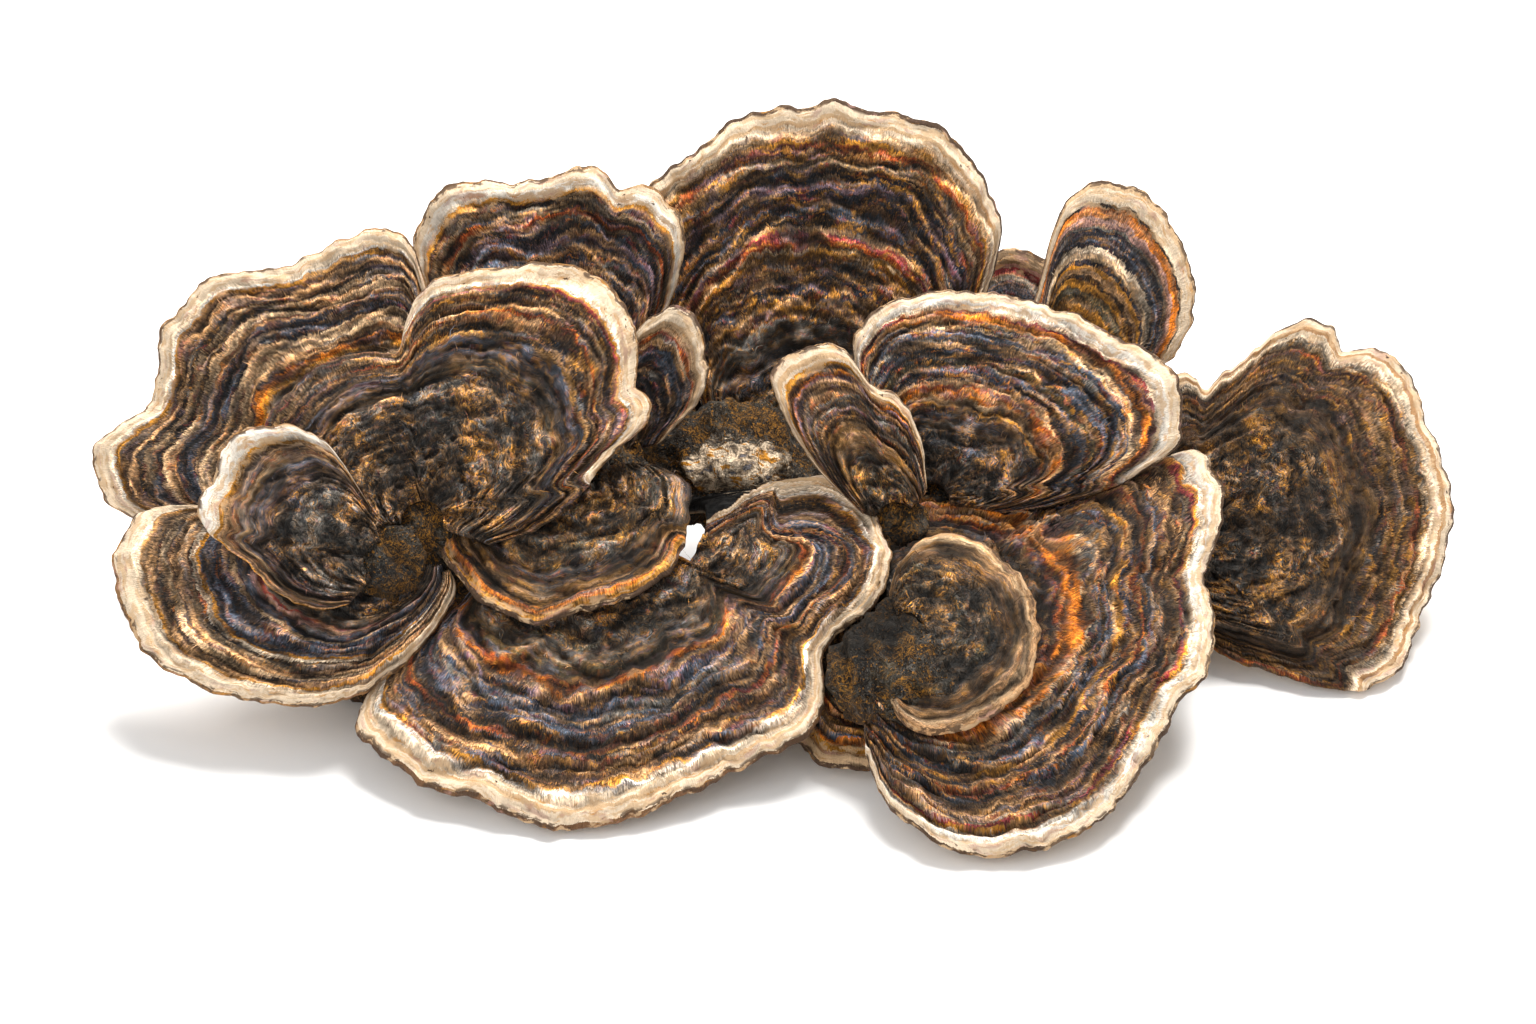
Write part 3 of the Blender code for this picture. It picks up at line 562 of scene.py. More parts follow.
def ledge_rise(cap, zone, arc):
    """How far the older growth layers raise the upper face."""
    rise = np.zeros_like(zone)
    for k, (at, high) in enumerate(cap.ledges):
        edge = (1 - at) * full_reach(cap) + 0.7 * noise(arc / 3.1, 0.5, cap.seed + 12 + k)
        rise += high * fade((zone - edge) / 0.8 + 0.5)
    return rise


def row_shares(cap):
    """The rows of an upper skin: even steps to the rim, and then closer ones over its rounding."""
    rim = rim_share(cap)
    plain = COARSE * math.ceil(full_reach(cap) * (1 - rim) / CELL / COARSE)
    turn = np.linspace(0, math.pi / 2, COARSE + 1)
    return np.concatenate([np.arange(plain) / plain * (1 - rim), 1 - rim * (1 - np.sin(turn))])[:, None]


class Mesh:
    """Points and faces of one piece, with what its material reads at each point."""

    def __init__(self):
        self.points, self.growth, self.relief, self.kind, self.faces = [], [], [], [], []
        self.count = 0

    def add(self, points, growth, relief, kind):
        """Adds points, and gives their numbers in the same shape."""
        shape = points.shape[:-1]
        size = math.prod(shape)
        self.points.append(points.reshape(-1, 3))
        self.growth.append(np.broadcast_to(growth, (*shape, 3)).reshape(-1, 3))
        self.relief.append(np.broadcast_to(relief, shape).reshape(-1))
        self.kind.append(np.full(size, kind))
        self.count += size
        return np.arange(self.count - size, self.count).reshape(shape)

    def face(self, *corners):
        """Adds one face for each place in these equally long arrays of point numbers."""
        self.faces.append(np.stack([np.ravel(corner) for corner in corners], axis=1))

    def grid(self, numbers):
        """Adds the faces between the rows and columns of a grid of points."""
        self.face(numbers[:-1, :-1], numbers[1:, :-1], numbers[1:, 1:], numbers[:-1, 1:])

    def close(self, upper, under):
        """Adds an under skin, whose cells on the border take in the upper skin's points there."""
        rows, columns = under.shape[0] - 1, under.shape[1] - 1
        self.grid(under[:rows, 1:columns][:, ::-1])
        for i in range(rows):
            for j in range(columns) if i == rows - 1 else (0, columns - 1):
                ring = [under[i, j], under[i, j + 1]]
                if j == columns - 1:
                    ring += list(upper[COARSE * i : COARSE * (i + 1) + 1, -1])
                ring += [under[i + 1, j + 1]]
                if i == rows - 1:
                    ring += list(upper[-1, COARSE * j : COARSE * (j + 1) + 1][::-1])
                ring += [under[i + 1, j]]
                if j == 0:
                    ring += list(upper[COARSE * i : COARSE * (i + 1) + 1, 0][::-1])
                self.ring(ring)
        for j in range(columns):
            self.ring([*upper[0, COARSE * j : COARSE * (j + 1) + 1], under[0, j + 1], under[0, j]])

    def ring(self, corners):
        """Adds one face with any number of corners."""
        self.faces.append(np.array([list(dict.fromkeys(int(corner) for corner in corners))]))

    def build(self, name):
        """The finished object."""
        mesh = bpy.data.meshes.new(name)
        corners = np.concatenate([face.ravel() for face in self.faces])
        sizes = np.concatenate([np.full(len(face), face.shape[1]) for face in self.faces])
        points = np.concatenate(self.points) * MM
        mesh.vertices.add(len(points))
        mesh.vertices.foreach_set("co", points.ravel())
        mesh.loops.add(len(corners))
        mesh.loops.foreach_set("vertex_index", corners.astype(np.int32))
        mesh.polygons.add(len(sizes))
        starts = np.concatenate([[0], np.cumsum(sizes)[:-1]])
        mesh.polygons.foreach_set("loop_start", starts.astype(np.int32))
        mesh.polygons.foreach_set("use_smooth", np.ones(len(sizes), bool))
        for label, kind, values in (
            ("growth", "FLOAT_VECTOR", np.concatenate(self.growth)),
            ("relief", "FLOAT", np.concatenate(self.relief)),
            ("kind", "FLOAT", np.concatenate(self.kind)),
        ):
            layer = mesh.attributes.new(label, kind, "POINT")
            layer.data.foreach_set("vector" if kind == "FLOAT_VECTOR" else "value", values.ravel())
        mesh.update(calc_edges=True)
        mesh.validate()
        return add_object(name, mesh)


def add_bristles(mesh, base, along, out, across, length, growth, relief):
    """Adds one closed, straight, pointed bristle for each row of these arrays."""
    root = base - out * BRISTLE_ROOT
    side = across * BRISTLE_WIDTH
    ends = base + along * length[:, None]
    corners = [root + side, root - side, base + out * BRISTLE_WIDTH, ends]
    a, b, c, tip = (mesh.add(points, growth, relief, HAIR) for points in corners)
    mesh.face(a, b, tip)
    mesh.face(b, c, tip)
    mesh.face(c, a, tip)
    mesh.face(c, b, a)


def add_hairs(mesh, base, along, out, across, length, curl, growth, relief):
    """Adds one closed, bent, pointed hair for each row of these arrays."""
    side, lift = across * HAIR_WIDTH, out * HAIR_WIDTH
    middle = base + along * (length * 0.5)[:, None] + out * (length * 0.22)[:, None]
    tip = base + (along + (across + 0.6 * out) * curl[:, None]) * length[:, None]
    root = base - out * HAIR_ROOT
    foot = [root + side, root - side, root + lift * 1.6]
    waist = [middle + side * 0.7, middle - side * 0.7, middle + lift * 1.1]
    rings = [mesh.add(points, growth, relief, HAIR) for points in (*foot, *waist, tip)]
    for k in range(3):
        n = (k + 1) % 3
        mesh.face(rings[k], rings[n], rings[3 + n], rings[3 + k])
        mesh.face(rings[3 + k], rings[3 + n], rings[6])
    mesh.face(rings[2], rings[1], rings[0])


def hair_lengths(rng, limits, count):
    """Random lengths between these limits, most of them short."""
    return limits[0] + (limits[1] - limits[0]) * rng.random(count) ** 2


def hair_cap(mesh, cap, top, growth, relief):
    """Covers a cap's upper skin in bristles that are combed outwards, and its hub in loose hairs."""
    rng = np.random.default_rng(cap.seed + 15)
    corner, down, side = top[:-1, :-1], top[1:, :-1], top[:-1, 1:]
    area = np.linalg.norm(np.cross(down - corner, side - corner), axis=-1)
    zone = growth[:-1, :-1, 1]
    share = 1 - zone / full_reach(cap)
    hub = fade((cap.felt - share) / 0.25 + 0.5) * (share > BALD_SHARE)
    coat = fade((zone - PALE_MARGIN) / 1.5) * (share > BALD_SHARE)
    for wanted, dense, loose in ((coat, BRISTLES, False), (hub, HAIRS, True)):
        weight = (area * wanted).ravel()
        count = int(dense * weight.sum())
        i, j = np.unravel_index(rng.choice(len(weight), count, p=weight / weight.sum()), wanted.shape)
        u, v = rng.random((2, count, 1))
        base = corner[i, j] + u * (down - corner)[i, j] + v * (side - corner)[i, j]
        along = (down - corner)[i, j]
        along = along / np.linalg.norm(along, axis=1, keepdims=True)
        out = np.broadcast_to(frame_of(cap)[2], along.shape)
        across = np.cross(out, along)
        arc, run = growth[i, j, 0], growth[i, j, 2]
        sway = 2.4 * noise(arc / 2.6, run / 2.6, cap.seed + 16) * (0.3 + hub[i, j])
        sway = sway + rng.normal(0, 0.3, count)
        swept = along * np.cos(sway)[:, None] + across * np.sin(sway)[:, None]
        across = np.cross(out, swept)
        here = (growth[i, j], relief[i, j])
        if loose:
            length = hair_lengths(rng, HAIR_LENGTH, count)
            swept = swept + rng.uniform(*HAIR_RISE, (count, 1)) * out
            add_hairs(mesh, base, swept, out, across, length, rng.normal(0, 0.5, count), *here)
        else:
            swept = swept + rng.uniform(*BRISTLE_RISE, (count, 1)) * out
            add_bristles(mesh, base, swept, out, across, rng.uniform(*BRISTLE_LENGTH, count), *here)


def make_cap(cap):
    """A cap's piece: a fine upper skin, a coarser under skin, and hairs."""
    angle, arc = margin_angles(cap)
    share = row_shares(cap)
    middle, run, zone, relief, bumps = surface(cap, share, angle, arc)
    half = thickness_of(cap, share, len(arc)) / 2
    solid = fade(half / 0.3)
    out = frame_of(cap)[2]
    rise = (ledge_rise(cap, zone, arc) + bumps) * solid
    top = middle + (half + rise)[..., None] * out
    growth = np.stack(np.broadcast_arrays(arc, zone, run), axis=-1)

    low = (middle - half[..., None] * out)[::COARSE, ::COARSE]
    mesh = Mesh()
    upper = mesh.add(top, growth, relief, UPPER)
    under = mesh.add(low, growth[::COARSE, ::COARSE], 0.0, UNDER)
    under[-1], under[:, 0], under[:, -1] = upper[-1, ::COARSE], upper[::COARSE, 0], upper[::COARSE, -1]
    mesh.grid(upper)
    mesh.close(upper, under)
    hair_cap(mesh, cap, top, growth, relief)
    return mesh


def colour_of(name):
    """One of the named colours, as a material wants it."""
    parts = [int(COLOURS[name][k : k + 2], 16) / 255 for k in (0, 2, 4)]
    linear = [((part + 0.055) / 1.055) ** 2.4 if part > 0.04 else part / 12.92 for part in parts]
    return (*(BRIGHTNESS * part for part in linear), 1.0)


def new_material(name):
    material = bpy.data.materials.new(name)
    material.use_nodes = True
    return material


def connect(node, inputs):
    """Gives a node its inputs. Each is a value, a number, a list or the name of a colour."""
    for key, value in inputs.items():
        if isinstance(value, Value):
            node.id_data.links.new(value.socket, node.inputs[key])
        else:
            node.inputs[key].default_value = colour_of(value) if isinstance(value, str) else value
    return node


def add_node(tree, kind, inputs, **options):
    made = tree.nodes.new("ShaderNode" + kind)
    for name, option in options.items():
        setattr(made, name, option)
    return connect(made, inputs)


class Value:
    """A number, a vector or a colour that a material works out, from one output of a node.

    Sums of values are values too, so that a look is written as a formula.
    """

    def __init__(self, tree, socket):
        self.tree = tree
        self.socket = socket

    def node(self, kind, inputs, output=0, **options):
        return Value(self.tree, add_node(self.tree, kind, inputs, **options).outputs[output])

    def math(self, operation, *others, clamp=False):
        return self.node("Math", dict(enumerate((self, *others))), operation=operation, use_clamp=clamp)

    def vector(self, operation, *others, output=0):
        return self.node("VectorMath", dict(enumerate((self, *others))), output, operation=operation)

    def __add__(self, other):
        return self.math("ADD", other)

    def __sub__(self, other):
        return self.math("SUBTRACT", other)

    def __mul__(self, other):
        return self.math("MULTIPLY", other)

    def __abs__(self):
        return self.math("ABSOLUTE")

    def step(self, low, high, to=(0.0, 1.0)):
        """A smooth step as this goes from low to high."""
        inputs = dict(enumerate((self, low, high, *to)))
        return self.node("MapRange", inputs, interpolation_type="SMOOTHSTEP")

    def line(self, width):
        """1 where this is one half, and 0 further off than this."""
        return abs(self - 0.5).step(width, width * 0.3)

    def parts(self):
        """The three parts of this vector."""
        return [self.node("SeparateXYZ", {0: self}, part) for part in range(3)]

    def joined(self, second, third):
        """The vector of this and two more parts."""
        return self.node("CombineXYZ", {0: self, 1: second, 2: third})

    def scaled(self, sizes, shift=0.0):
        """This vector divided by these sizes, so that a texture's grains come out that large."""
        return self.vector("MULTIPLY_ADD", [1 / size for size in sizes], [shift] * 3)

    def distance(self, middle, sizes):
        """How far this point is from a middle, as a share of these sizes."""
        return self.vector("SUBTRACT", middle).scaled(sizes).vector("LENGTH", output=1)

    def noise(self, sizes, shift=0.0, detail=2.0, roughness=0.5, warp=0.0, output=0):
        """Noise around 0.5, with grains of these sizes along this vector's three parts."""
        inputs = {"Vector": self.scaled(sizes, shift), "Scale": 1.0, "Detail": detail}
        return self.node("TexNoise", {**inputs, "Roughness": roughness, "Distortion": warp}, output)

    def swirled(self, size, amount):
        """This vector, pushed this far to and fro by swirls of this size."""
        push = self.noise([size] * 3, 2.7, output=1).vector("SUBTRACT", [0.5] * 3)
        push = self.node("VectorMath", {0: push, "Scale": amount}, operation="SCALE")
        return self.vector("ADD", push)

    def choose(self, first, second):
        """The first colour where this is 0, and the second where it is 1."""
        return self.node("Mix", {0: self, 6: first, 7: second}, 2, data_type="RGBA")

    def mix(self, other, amount):
        """This colour with that much of another one over it."""
        return amount.choose(self, other)

    def shade(self, factor):
        """This colour made darker or lighter by a factor."""
        return self.vector("MULTIPLY", factor)

    def banded(self, stops):
        """The colour that each of these sharply edged bands gives to a distance."""
        last = stops[-1][0]
        made = add_node(self.tree, "ValToRGB", {0: self.math("DIVIDE", last, clamp=True)})
        made.color_ramp.interpolation = "CONSTANT"
        points = made.color_ramp.elements
        while len(points) > 1:
            points.remove(points[-1])
        for k, (distance, name) in enumerate(stops):
            point = points.new(distance / last) if k else points[0]
            point.position = distance / last
            point.color = colour_of(name)
        return Value(self.tree, made.outputs[0])


def attribute(tree, name, output="Fac"):
    """What a mesh says of its points under this name."""
    made = add_node(tree, "Attribute", {}, attribute_name=name, attribute_type="GEOMETRY")
    return Value(tree, made.outputs[output])


def geometry(tree):
    """The place of a point in millimetres, and the way its face looks."""
    outputs = add_node(tree, "NewGeometry", {}).outputs
    place = Value(tree, outputs["Position"]).vector("MULTIPLY", [1 / MM] * 3)
    return place, Value(tree, outputs["Normal"])


def velvet(material, colour, roughness, height, depth):
    """Gives a material the felted finish of every part of the clump."""
    bump = {"Strength": BUMP_STRENGTH, "Distance": depth * MM, "Height": height}
    surface = {
        "Normal": colour.node("Bump", bump),
        "Base Color": colour,
        "Roughness": roughness,
        "Specular IOR Level": SHINE,
        "Sheen Weight": SHEEN,
        "Sheen Roughness": 0.5,
        "Sheen Tint": "sand",
    }
    connect(material.node_tree.nodes["Principled BSDF"], surface)
    return material


def pores(place):
    """The cream under face, pricked all over with fine pores, and its height."""
    cells = {"Vector": place.scaled([PORE_SIZE] * 3), "Scale": 1.0}
    hole = place.node("TexVoronoi", cells, feature="DISTANCE_TO_EDGE").step(0.1, 0.32)
    wall = place.noise((5, 5, 5), 3.1, 3).step(0.35, 0.7).choose("cream", "sand")
    return wall.mix("tan", hole), hole * -1.0 + 1.0


def felted(colour, rays, amount):
    """Patches of fine curly threads over a colour: for old, felted skin."""
    cloud = rays.noise((4.5, 3.5, 3.5), 7.3, 2, 0.6)
    for name, sizes, shift, ends in (
        ("black", (1.3, 1.7, 1), 3.3, (0.8, 0.3)),
        ("ochre", (0.9, 1.4, 1), 6.1, (0.1, 0.8)),
        ("grey", (0.8, 1.5, 1), 9.7, (0.8, 0.1)),
        ("gold", (1.2, 1.9, 1), 2.2, (0.0, 0.8)),
    ):
        curl = rays.noise(sizes, shift, 2, 0.6, 1.6)
        colour = colour.mix(name, curl.line(0.04) * (amount * cloud.step(0.45, 0.56, ends)))
    return colour


def blotched(colour, flow, patches, shift, hop, grain, soft, where, share=1.0):
    """Patches over a colour: each has a colour, a strength, a size and the noise it starts at."""
    for number, (name, strength, sizes, low) in enumerate(patches, 1):
        cloud = flow.noise(sizes, shift + number * hop, *grain)
        colour = colour.mix(name, cloud.step(low, low + soft, (0.0, share * strength)) * where)
    return colour


def cap_material(cap):
    """The banded, felted skin of a cap, and the pores below it."""
    material = new_material(cap.name)
    tree = material.node_tree
    growth = attribute(tree, "growth", "Vector")
    relief, kind = attribute(tree, "relief"), attribute(tree, "kind")
    arc, zone, run = growth.parts()
    real = geometry(tree)[0]
    shift = cap.seed * CAP_SHIFT
    inner = zone.step(cap.calm, cap.calm + 1.8)
    outer = inner * -1.0 + 1.0
    edge = full_reach(cap) * (1 - cap.felt)
    old = zone.step(edge - 3, edge + 3)
    rays = arc.joined(run, shift).mix(real, old).swirled(3.0, old * 4.0 + 1.6)
    fibre = rays.noise((0.15, 1.0, 1), 5.5, 2, 0.6)

    # The bands, whose edges wander and fray, and the stains that lie along them.
    ragged = 0.3 + 1.4 * cap.pleats
    wander = (growth.noise((2.2, 2.0, 9), shift, 4, 0.6) - 0.5) * 2.4 + (fibre - 0.5) * 1.3
    at = zone + wander * zone.step(0.5, 4.5, (0.2 * ragged, ragged))
    flow = arc.joined(at, shift)
    rust, crimson, slate, gold = cap.stains
    patches = (
        ("black", 0.85, (11, 1.8, 1), 0.55),
        ("slate", slate + 0.1, (9, 1.9, 1), 0.56),
        ("tan", 0.8, (10, 1.4, 1), 0.56),
        ("grey", 0.6, (7, 1.6, 1), 0.59),
        ("rust", rust, (3.5, 0.9, 1), 0.61),
        ("crimson", crimson, (3.5, 0.9, 1), 0.62),
        ("mauve", 1.1 * crimson, (4, 1.3, 1), 0.59),
        ("orange", rust + 0.2, (3.5, 0.8, 1), 0.65),
        ("ochre", gold, (5, 1.3, 1), 0.57),
        ("gold", gold, (2.6, 0.8, 1), 0.60),
    )
    share = min(1.0, 0.2 + 1.8 * cap.pleats)
    colour = at.banded(cap.bands)
    colour = blotched(colour, flow, patches, shift, STAIN_SHIFT, (2, 0.6), 0.05, inner, share)
    shift += STAIN_SHIFT * len(patches)

    # Threads and moss, and painted highlights in paler or brighter colours on the crests of the relief.
    colour = felted(colour, rays, old.math("MAXIMUM", inner * 0.2))
    moss = rays.noise((0.36, 0.42, 1), 9.1, 3, 0.65)
    colour = colour.mix("gold", moss.step(0.61, 0.67, (0.0, 0.3 + 0.5 * gold)) * inner)
    hue = flow.noise((5, 1.6, 1), shift + 5, 2, 0.6)
    tip = hue.step(0.46, 0.56).choose("tan", "ochre").mix("orange", hue.step(0.58, 0.66))
    tip = tip.mix("grey", hue.step(0.42, 0.34))
    colour = colour.mix(tip, relief.step(0.7, 1.6, (0.0, 0.7)) * inner * fibre.step(0.45, 0.6))
    tuft = (real.noise((4, 4, 4), 6.6, 3) - 0.5) * old + 0.5
    colour = colour.mix("felt", tuft.step(0.56, 0.44, (0.0, 0.55)) * old)

    # Light and dark, which the margin hardly has: tone from fibres, moss, threads, clouds and tufts, and,
    # from the relief, painted shade in the grooves and painted highlights on the crests.
    thread = flow.noise((2.6, 0.4, 1), shift + 3, 2, 0.6)
    cloud = flow.noise((9, 2.1, 1), shift + 8, 3, 0.55)
    full = zone.step(cap.calm - 0.8, cap.calm + 1.2, (0.15, 1.0))
    for value, low, high, ends in (
        (fibre, 0.34, 0.66, (0.5, 1.5)),
        (moss, 0.36, 0.6, (0.6, 1.3)),
        (thread, 0.38, 0.6, (0.6, 1.3)),
        (cloud, 0.36, 0.62, (0.45, 1.75)),
        (tuft, 0.38, 0.62, (0.45, 1.5)),
        # painted shade in the grooves and painted highlights on the crests of the relief
        (relief, -0.95, 1.25, (0.22, 1.6)),
    ):
        colour = colour.shade((value.step(low, high, ends) - 1.0) * full + 1.0)
    colour = colour.shade(zone.step(cap.calm, cap.calm + 3, (1.0, cap.tone)))

    # The pale margin: blotches, dark flecks and a broken dark rim.
    patches = (
        ("sand", 0.8, (3, 0.9, 1), 0.50),
        ("rose", 0.5, (4, 1.2, 1), 0.57),
        ("gold", 0.6, (3, 0.5, 1), 0.59),
    )
    colour = blotched(colour, flow, patches, shift, PATCH_SHIFT, (3, 0.65), 0.08, outer)
    blot = flow.noise((1.6, 0.9, 1), 4.4, 3, 0.6)
    colour = colour.mix("umber", blot.step(0.68, 0.72) * outer)
    dash = growth.noise((2.0, 0.9, 9), 8.2, 3, 0.65).step(0.5, 0.56, (0.0, 0.85))
    colour = colour.mix("umber", dash * zone.step(0.9, 0.5))

    # Past a lobe's edge, in the hollow behind it, it is painted black as painted shade. Hairs are a little
    # lighter, and the under face has pores.
    colour = colour.mix("black", zone.step(-0.5, -1.1))
    colour = colour.shade(abs(kind - HAIR).step(0.3, 0.1, (1.0, 1.2)))
    under = kind.step(0.6, 0.9)
    below, hollow = pores(arc.joined(run, 0.0))
    heights = {0: under, 2: fibre + (thread + moss) * 0.8, 3: hollow}
    height = under.node("Mix", heights, data_type="FLOAT")
    return velvet(material, colour.mix(below, under), fibre.step(0.3, 0.7, (0.95, 0.7)), height, 0.2)


def base_lumps():
    """The swellings that the base is fused from, fine enough to hold its felt."""
    places = [(centre, radii, np.identity(3)) for centre, radii in BASE_LUMPS]
    for cap in CAPS:
        axes = frame_of(cap)
        foot = (cap.foot, cap.foot, cap.foot * FOOT_FLATNESS)
        places.append((cap.root - FOOT_DEPTH * axes[2], foot, np.transpose(axes)))
    lumps = bmesh.new()
    for centre, radii, axes in places:
        place = Matrix.Translation((Vector(centre) - Vector(CLUMP_MIDDLE)) * MM)
        shape = Matrix(axes) @ Matrix.Diagonal(Vector(radii) * MM)
        bmesh.ops.create_icosphere(lumps, subdivisions=4, radius=1, matrix=place @ shape.to_4x4())
    mesh = bpy.data.meshes.new("lumps")
    lumps.to_mesh(mesh)
    lumps.free()
    made = add_object("lumps", mesh)
    fuse = made.modifiers.new("fuse", "REMESH")
    fuse.mode = "VOXEL"
    fuse.voxel_size = BASE_VOXEL * MM
    relax = made.modifiers.new("relax", "SMOOTH")
    relax.factor = 0.5
    relax.iterations = 30
    bpy.context.view_layer.update()
    fused = bpy.data.meshes.new_from_object(made.evaluated_get(bpy.context.evaluated_depsgraph_get()))
    bpy.data.objects.remove(made)
    return fused


def make_base():
    """The woody base: felted and mossy on top, cut off flat underneath."""
    fused = base_lumps()
    count = len(fused.vertices)
    points, normals = np.zeros(count * 3), np.zeros(count * 3)
    fused.vertices.foreach_get("co", points)
    fused.vertices.foreach_get("normal", normals)
    points, normals = points.reshape(-1, 3) / MM, normals.reshape(-1, 3)
    x, y, z = points.T
    lump = rough(x / 3.4 + 0.3 * z, y / 2.2 - 0.4 * z, BASE_SEED, 5)
    bark = rough(x / 1.3, z / 5 + y / 9, BASE_SEED + 10, 3)
    relief = lump + 0.4 * bark
    points += normals * (relief * fade(z / 1.5))[:, None]
    fused.vertices.foreach_set("co", (points * MM).ravel())

    shape = bmesh.new()
    shape.from_mesh(fused)
    everything = [*shape.verts, *shape.edges, *shape.faces]
    level = {"plane_co": (0, 0, 0), "plane_no": (0, 0, 1)}
    cut = bmesh.ops.bisect_plane(shape, geom=everything, clear_inner=True, **level)
    edges = [part for part in cut["geom_cut"] if isinstance(part, bmesh.types.BMEdge)]
    bmesh.ops.edgenet_fill(shape, edges=edges)
    bmesh.ops.recalc_face_normals(shape, faces=shape.faces)
    shape.to_mesh(fused)
    shape.free()
    for face in fused.polygons:
        face.use_smooth = True
    return fused, points, normals, relief


def ledge_skin(place):
    """The leathery skin of the pale ledge."""
    streak = place.noise((3.4, 1.2, 1.2), 4.9, 3, 0.6)
    skin = streak.step(0.38, 0.52).choose("taupe", "cream").mix("gold", streak.step(0.56, 0.61))
    skin = skin.mix("slate", streak.step(0.41, 0.36, (0.0, 0.7)))
    weave = place.noise((0.3, 0.22, 0.22), 1.3, 3, 0.65)
    return skin.shade(weave.step(0.4, 0.6, (0.45, 0.95)))


def base_material():
    """Dark felt and moss over brown wood, a pale ledge, and pale wood where it was cut."""
    material = new_material("base")
    place, normal = geometry(material.node_tree)
    height, down = place.parts()[2], normal.parts()[2]
    cloud = place.noise((2.6, 2.6, 2.6), 1.7, 4, 0.6)
    felt = cloud.step(0.42, 0.56).choose("black", "moss").mix("olive", cloud.step(0.56, 0.68, (0.0, 0.7)))
    grain = place.noise((0.9, 0.9, 6), 2.9, 4, 0.65)
    wood = grain.step(0.4, 0.62).choose("dark", "brown").mix("tan", grain.step(0.6, 0.72, (0.0, 0.6)))
    top = height + cloud * 6.0
    colour = wood.mix(felt, top.step(*FELT_FROM))

    skin = ledge_skin(place)
    tangle = place.swirled(3.0, 5.0)
    strand = tangle.noise((0.25, 1.4, 1.4), 5.1, 3, 0.65)
    tuft = tangle.noise((1.6, 3, 3), 8.3, 3, 0.6)
    colour = colour.mix("grey", tuft.step(0.55, 0.64, (0.0, 0.3)))
    colour = colour.mix("ochre", tuft.step(0.46, 0.38, (0.0, 0.4)))
    for value, ends in ((strand, (0.15, 1.0)), (tuft, (0.2, 1.0))):
        factor = value.step(0.36, 0.64, ends)
        colour = colour.shade(factor)
        skin = skin.shade(factor.step(0.15, 0.8, (0.5, 1.25)))
    colour = felted(colour, tangle, top.step(*FELT_FROM, (0.0, 0.55)))
    moss = place.noise((0.4, 0.4, 0.4), 7.7, 3, 0.65)
    colour = colour.mix("gold", moss.step(0.6, 0.66, (0.0, 0.6)))
    colour = colour.mix("black", moss.step(0.44, 0.3, (0.0, 0.8)))
    # Painted shade: the base's colour is darkened in the deep hollows between the caps.
    for middle, radius, depth in SHADED_HOLLOWS:
        off = place.distance(middle, [radius] * 3) + cloud
        colour = colour.shade(off.step(1.2, 1.6, (1 - depth, 1.0)))

    ragged = place.noise((1.8, 1.1, 1.1), 6.3, 3, 0.65)
    pale = (ragged * 1.8 + place.distance(LEDGE_PLACE, LEDGE_SIZE)).step(2.1, 1.85)
    rings = place.noise((1.4, 0.35, 3), 3.3, 4, 0.6)
    fresh = rings.step(0.4, 0.65).choose("tan", "cream")
    cut = down.step(-0.8, -0.95) * height.step(0.4, 0.1)
    colour = colour.mix(skin, pale).mix(fresh, cut)
    return velvet(material, colour, 0.95, moss + strand, 0.35)


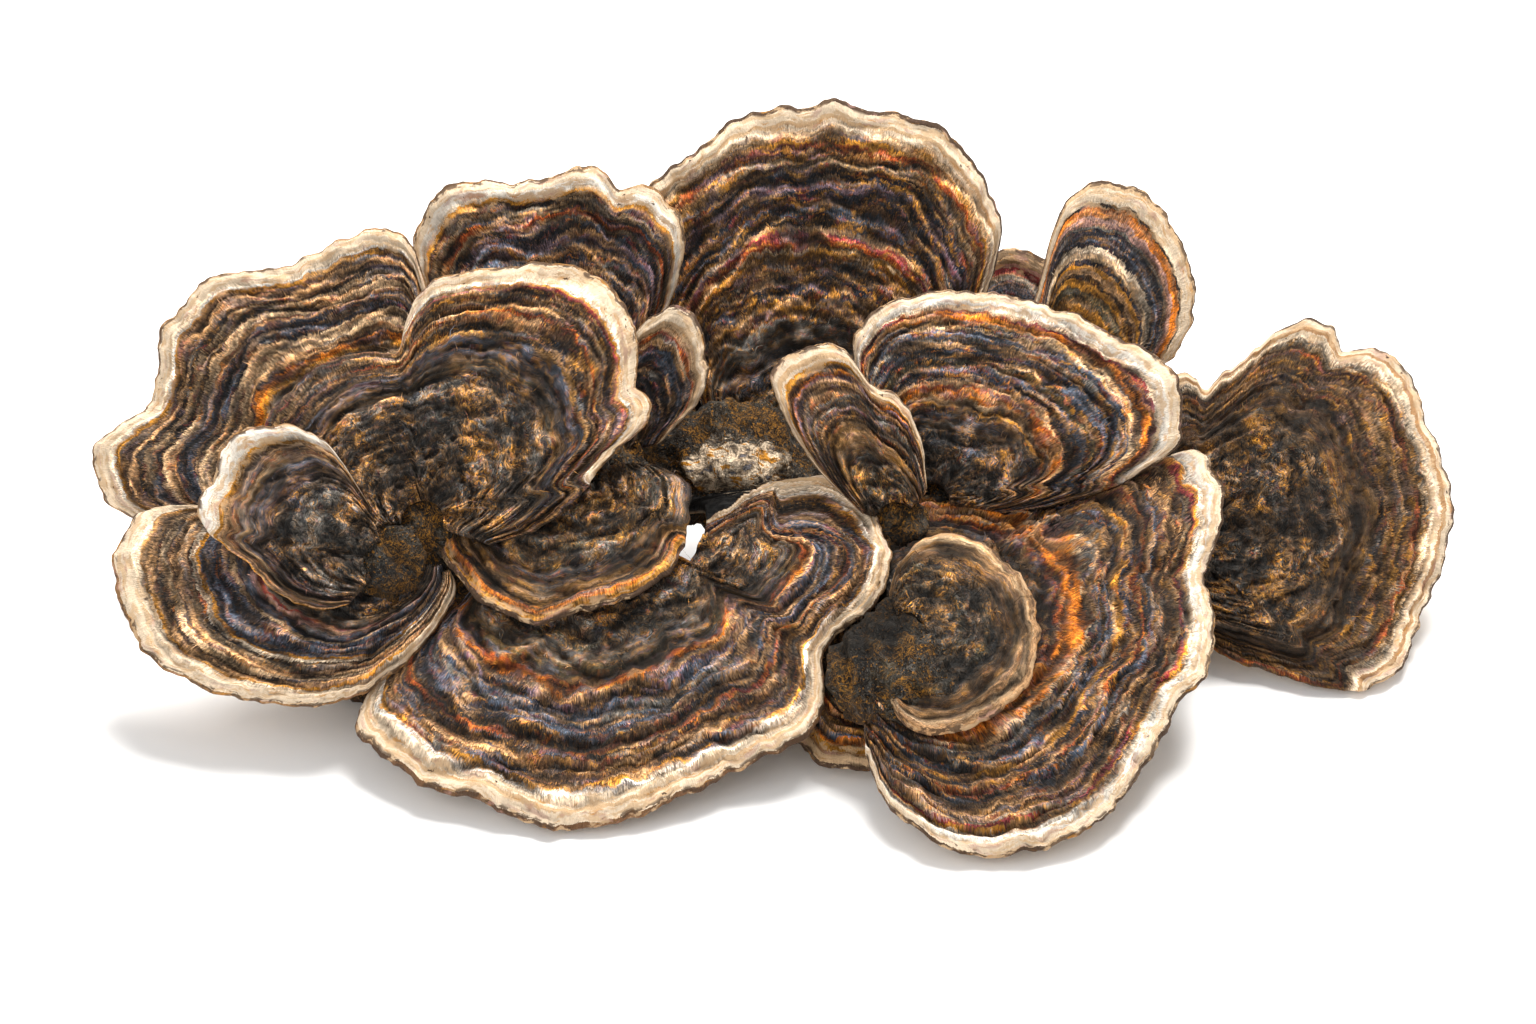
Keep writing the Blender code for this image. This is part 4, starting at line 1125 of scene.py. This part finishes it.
def hair_base(points, normals, relief):
    """Loose hairs over the top of the base."""
    rng = np.random.default_rng(BASE_SEED + 50)
    top = np.flatnonzero((normals[:, 2] > 0.1) & (points[:, 2] > 6))
    pick = rng.choice(top, int(BASE_HAIRS * len(top)))
    base, out = points[pick], normals[pick]
    turn = 2 * math.pi * noise(base[:, 0] / 9, base[:, 1] / 9, BASE_SEED + 51)
    turn = turn + rng.normal(0, 0.5, len(pick))
    along = np.stack([np.cos(turn), np.sin(turn), np.zeros(len(pick))], axis=1)
    along = along - out * np.sum(along * out, axis=1, keepdims=True)
    across = np.cross(out, along)
    length = hair_lengths(rng, BASE_HAIR_LENGTH, len(pick))
    mesh = Mesh()
    swept = along + rng.uniform(*BASE_HAIR_RISE, (len(pick), 1)) * out
    add_hairs(mesh, base, swept, out, across, length, rng.normal(0, 0.35, len(pick)), base, relief[pick])
    return mesh


def join(first, second):
    """Makes one object of two, under the name of the first."""
    with bpy.context.temp_override(active_object=first, selected_editable_objects=[first, second]):
        bpy.ops.object.join()


def place_piece(piece, node, material):
    """Puts a finished piece in the place of its CAD node."""
    piece.data.materials.clear()
    piece.data.materials.append(material)
    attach(piece, "root")
    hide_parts(node)


def make_camera():
    """The camera, where it stood for the photograph."""
    tilt = math.radians(CAMERA_ELEVATION)
    back = Vector((0, -math.cos(tilt), math.sin(tilt)))
    data = bpy.data.cameras.new("camera")
    data.lens = CAMERA_LENS
    data.clip_start = 0.01
    camera = add_object("camera", data)
    camera.location = (Vector(CAMERA_TARGET) + back * CAMERA_DISTANCE) * MM
    camera.rotation_euler = (math.pi / 2 - tilt, 0, 0)
    bpy.context.scene.camera = camera


def make_light(name, place, size, energy, colour):
    """A soft square light that shines at the clump."""
    data = bpy.data.lights.new(name, "AREA")
    data.size = size
    data.energy = energy
    data.color = colour
    lamp = add_object(name, data)
    lamp.location = place
    lamp.rotation_euler = (-Vector(place)).to_track_quat("-Z", "Y").to_euler()


def make_stage():
    """A white table that runs off out of sight, and soft daylight."""
    bpy.ops.mesh.primitive_plane_add(size=TABLE_SIZE)
    floor = bpy.context.object
    floor.name = "floor"
    paint = new_material("floor")
    connect(paint.node_tree.nodes["Principled BSDF"], {"Base Color": TABLE_COLOUR, "Roughness": 0.7})
    floor.data.materials.append(paint)
    world = bpy.data.worlds.new("daylight")
    bpy.context.scene.world = world
    world.use_nodes = True
    connect(world.node_tree.nodes["Background"], {"Color": (1, 1, 1, 1), "Strength": DAYLIGHT})
    for light in LIGHTS:
        make_light(*light)
    bpy.context.scene.view_settings.view_transform = "Standard"


def main():
    make_stage()
    make_camera()
    for cap in CAPS:
        place_piece(make_cap(cap).build("skin_" + cap.name), cap.name, cap_material(cap))
    fused, points, normals, relief = make_base()
    base = add_object("skin_base", fused)
    join(base, hair_base(points, normals, relief).build("hairs"))
    place_piece(base, "base", base_material())


main()
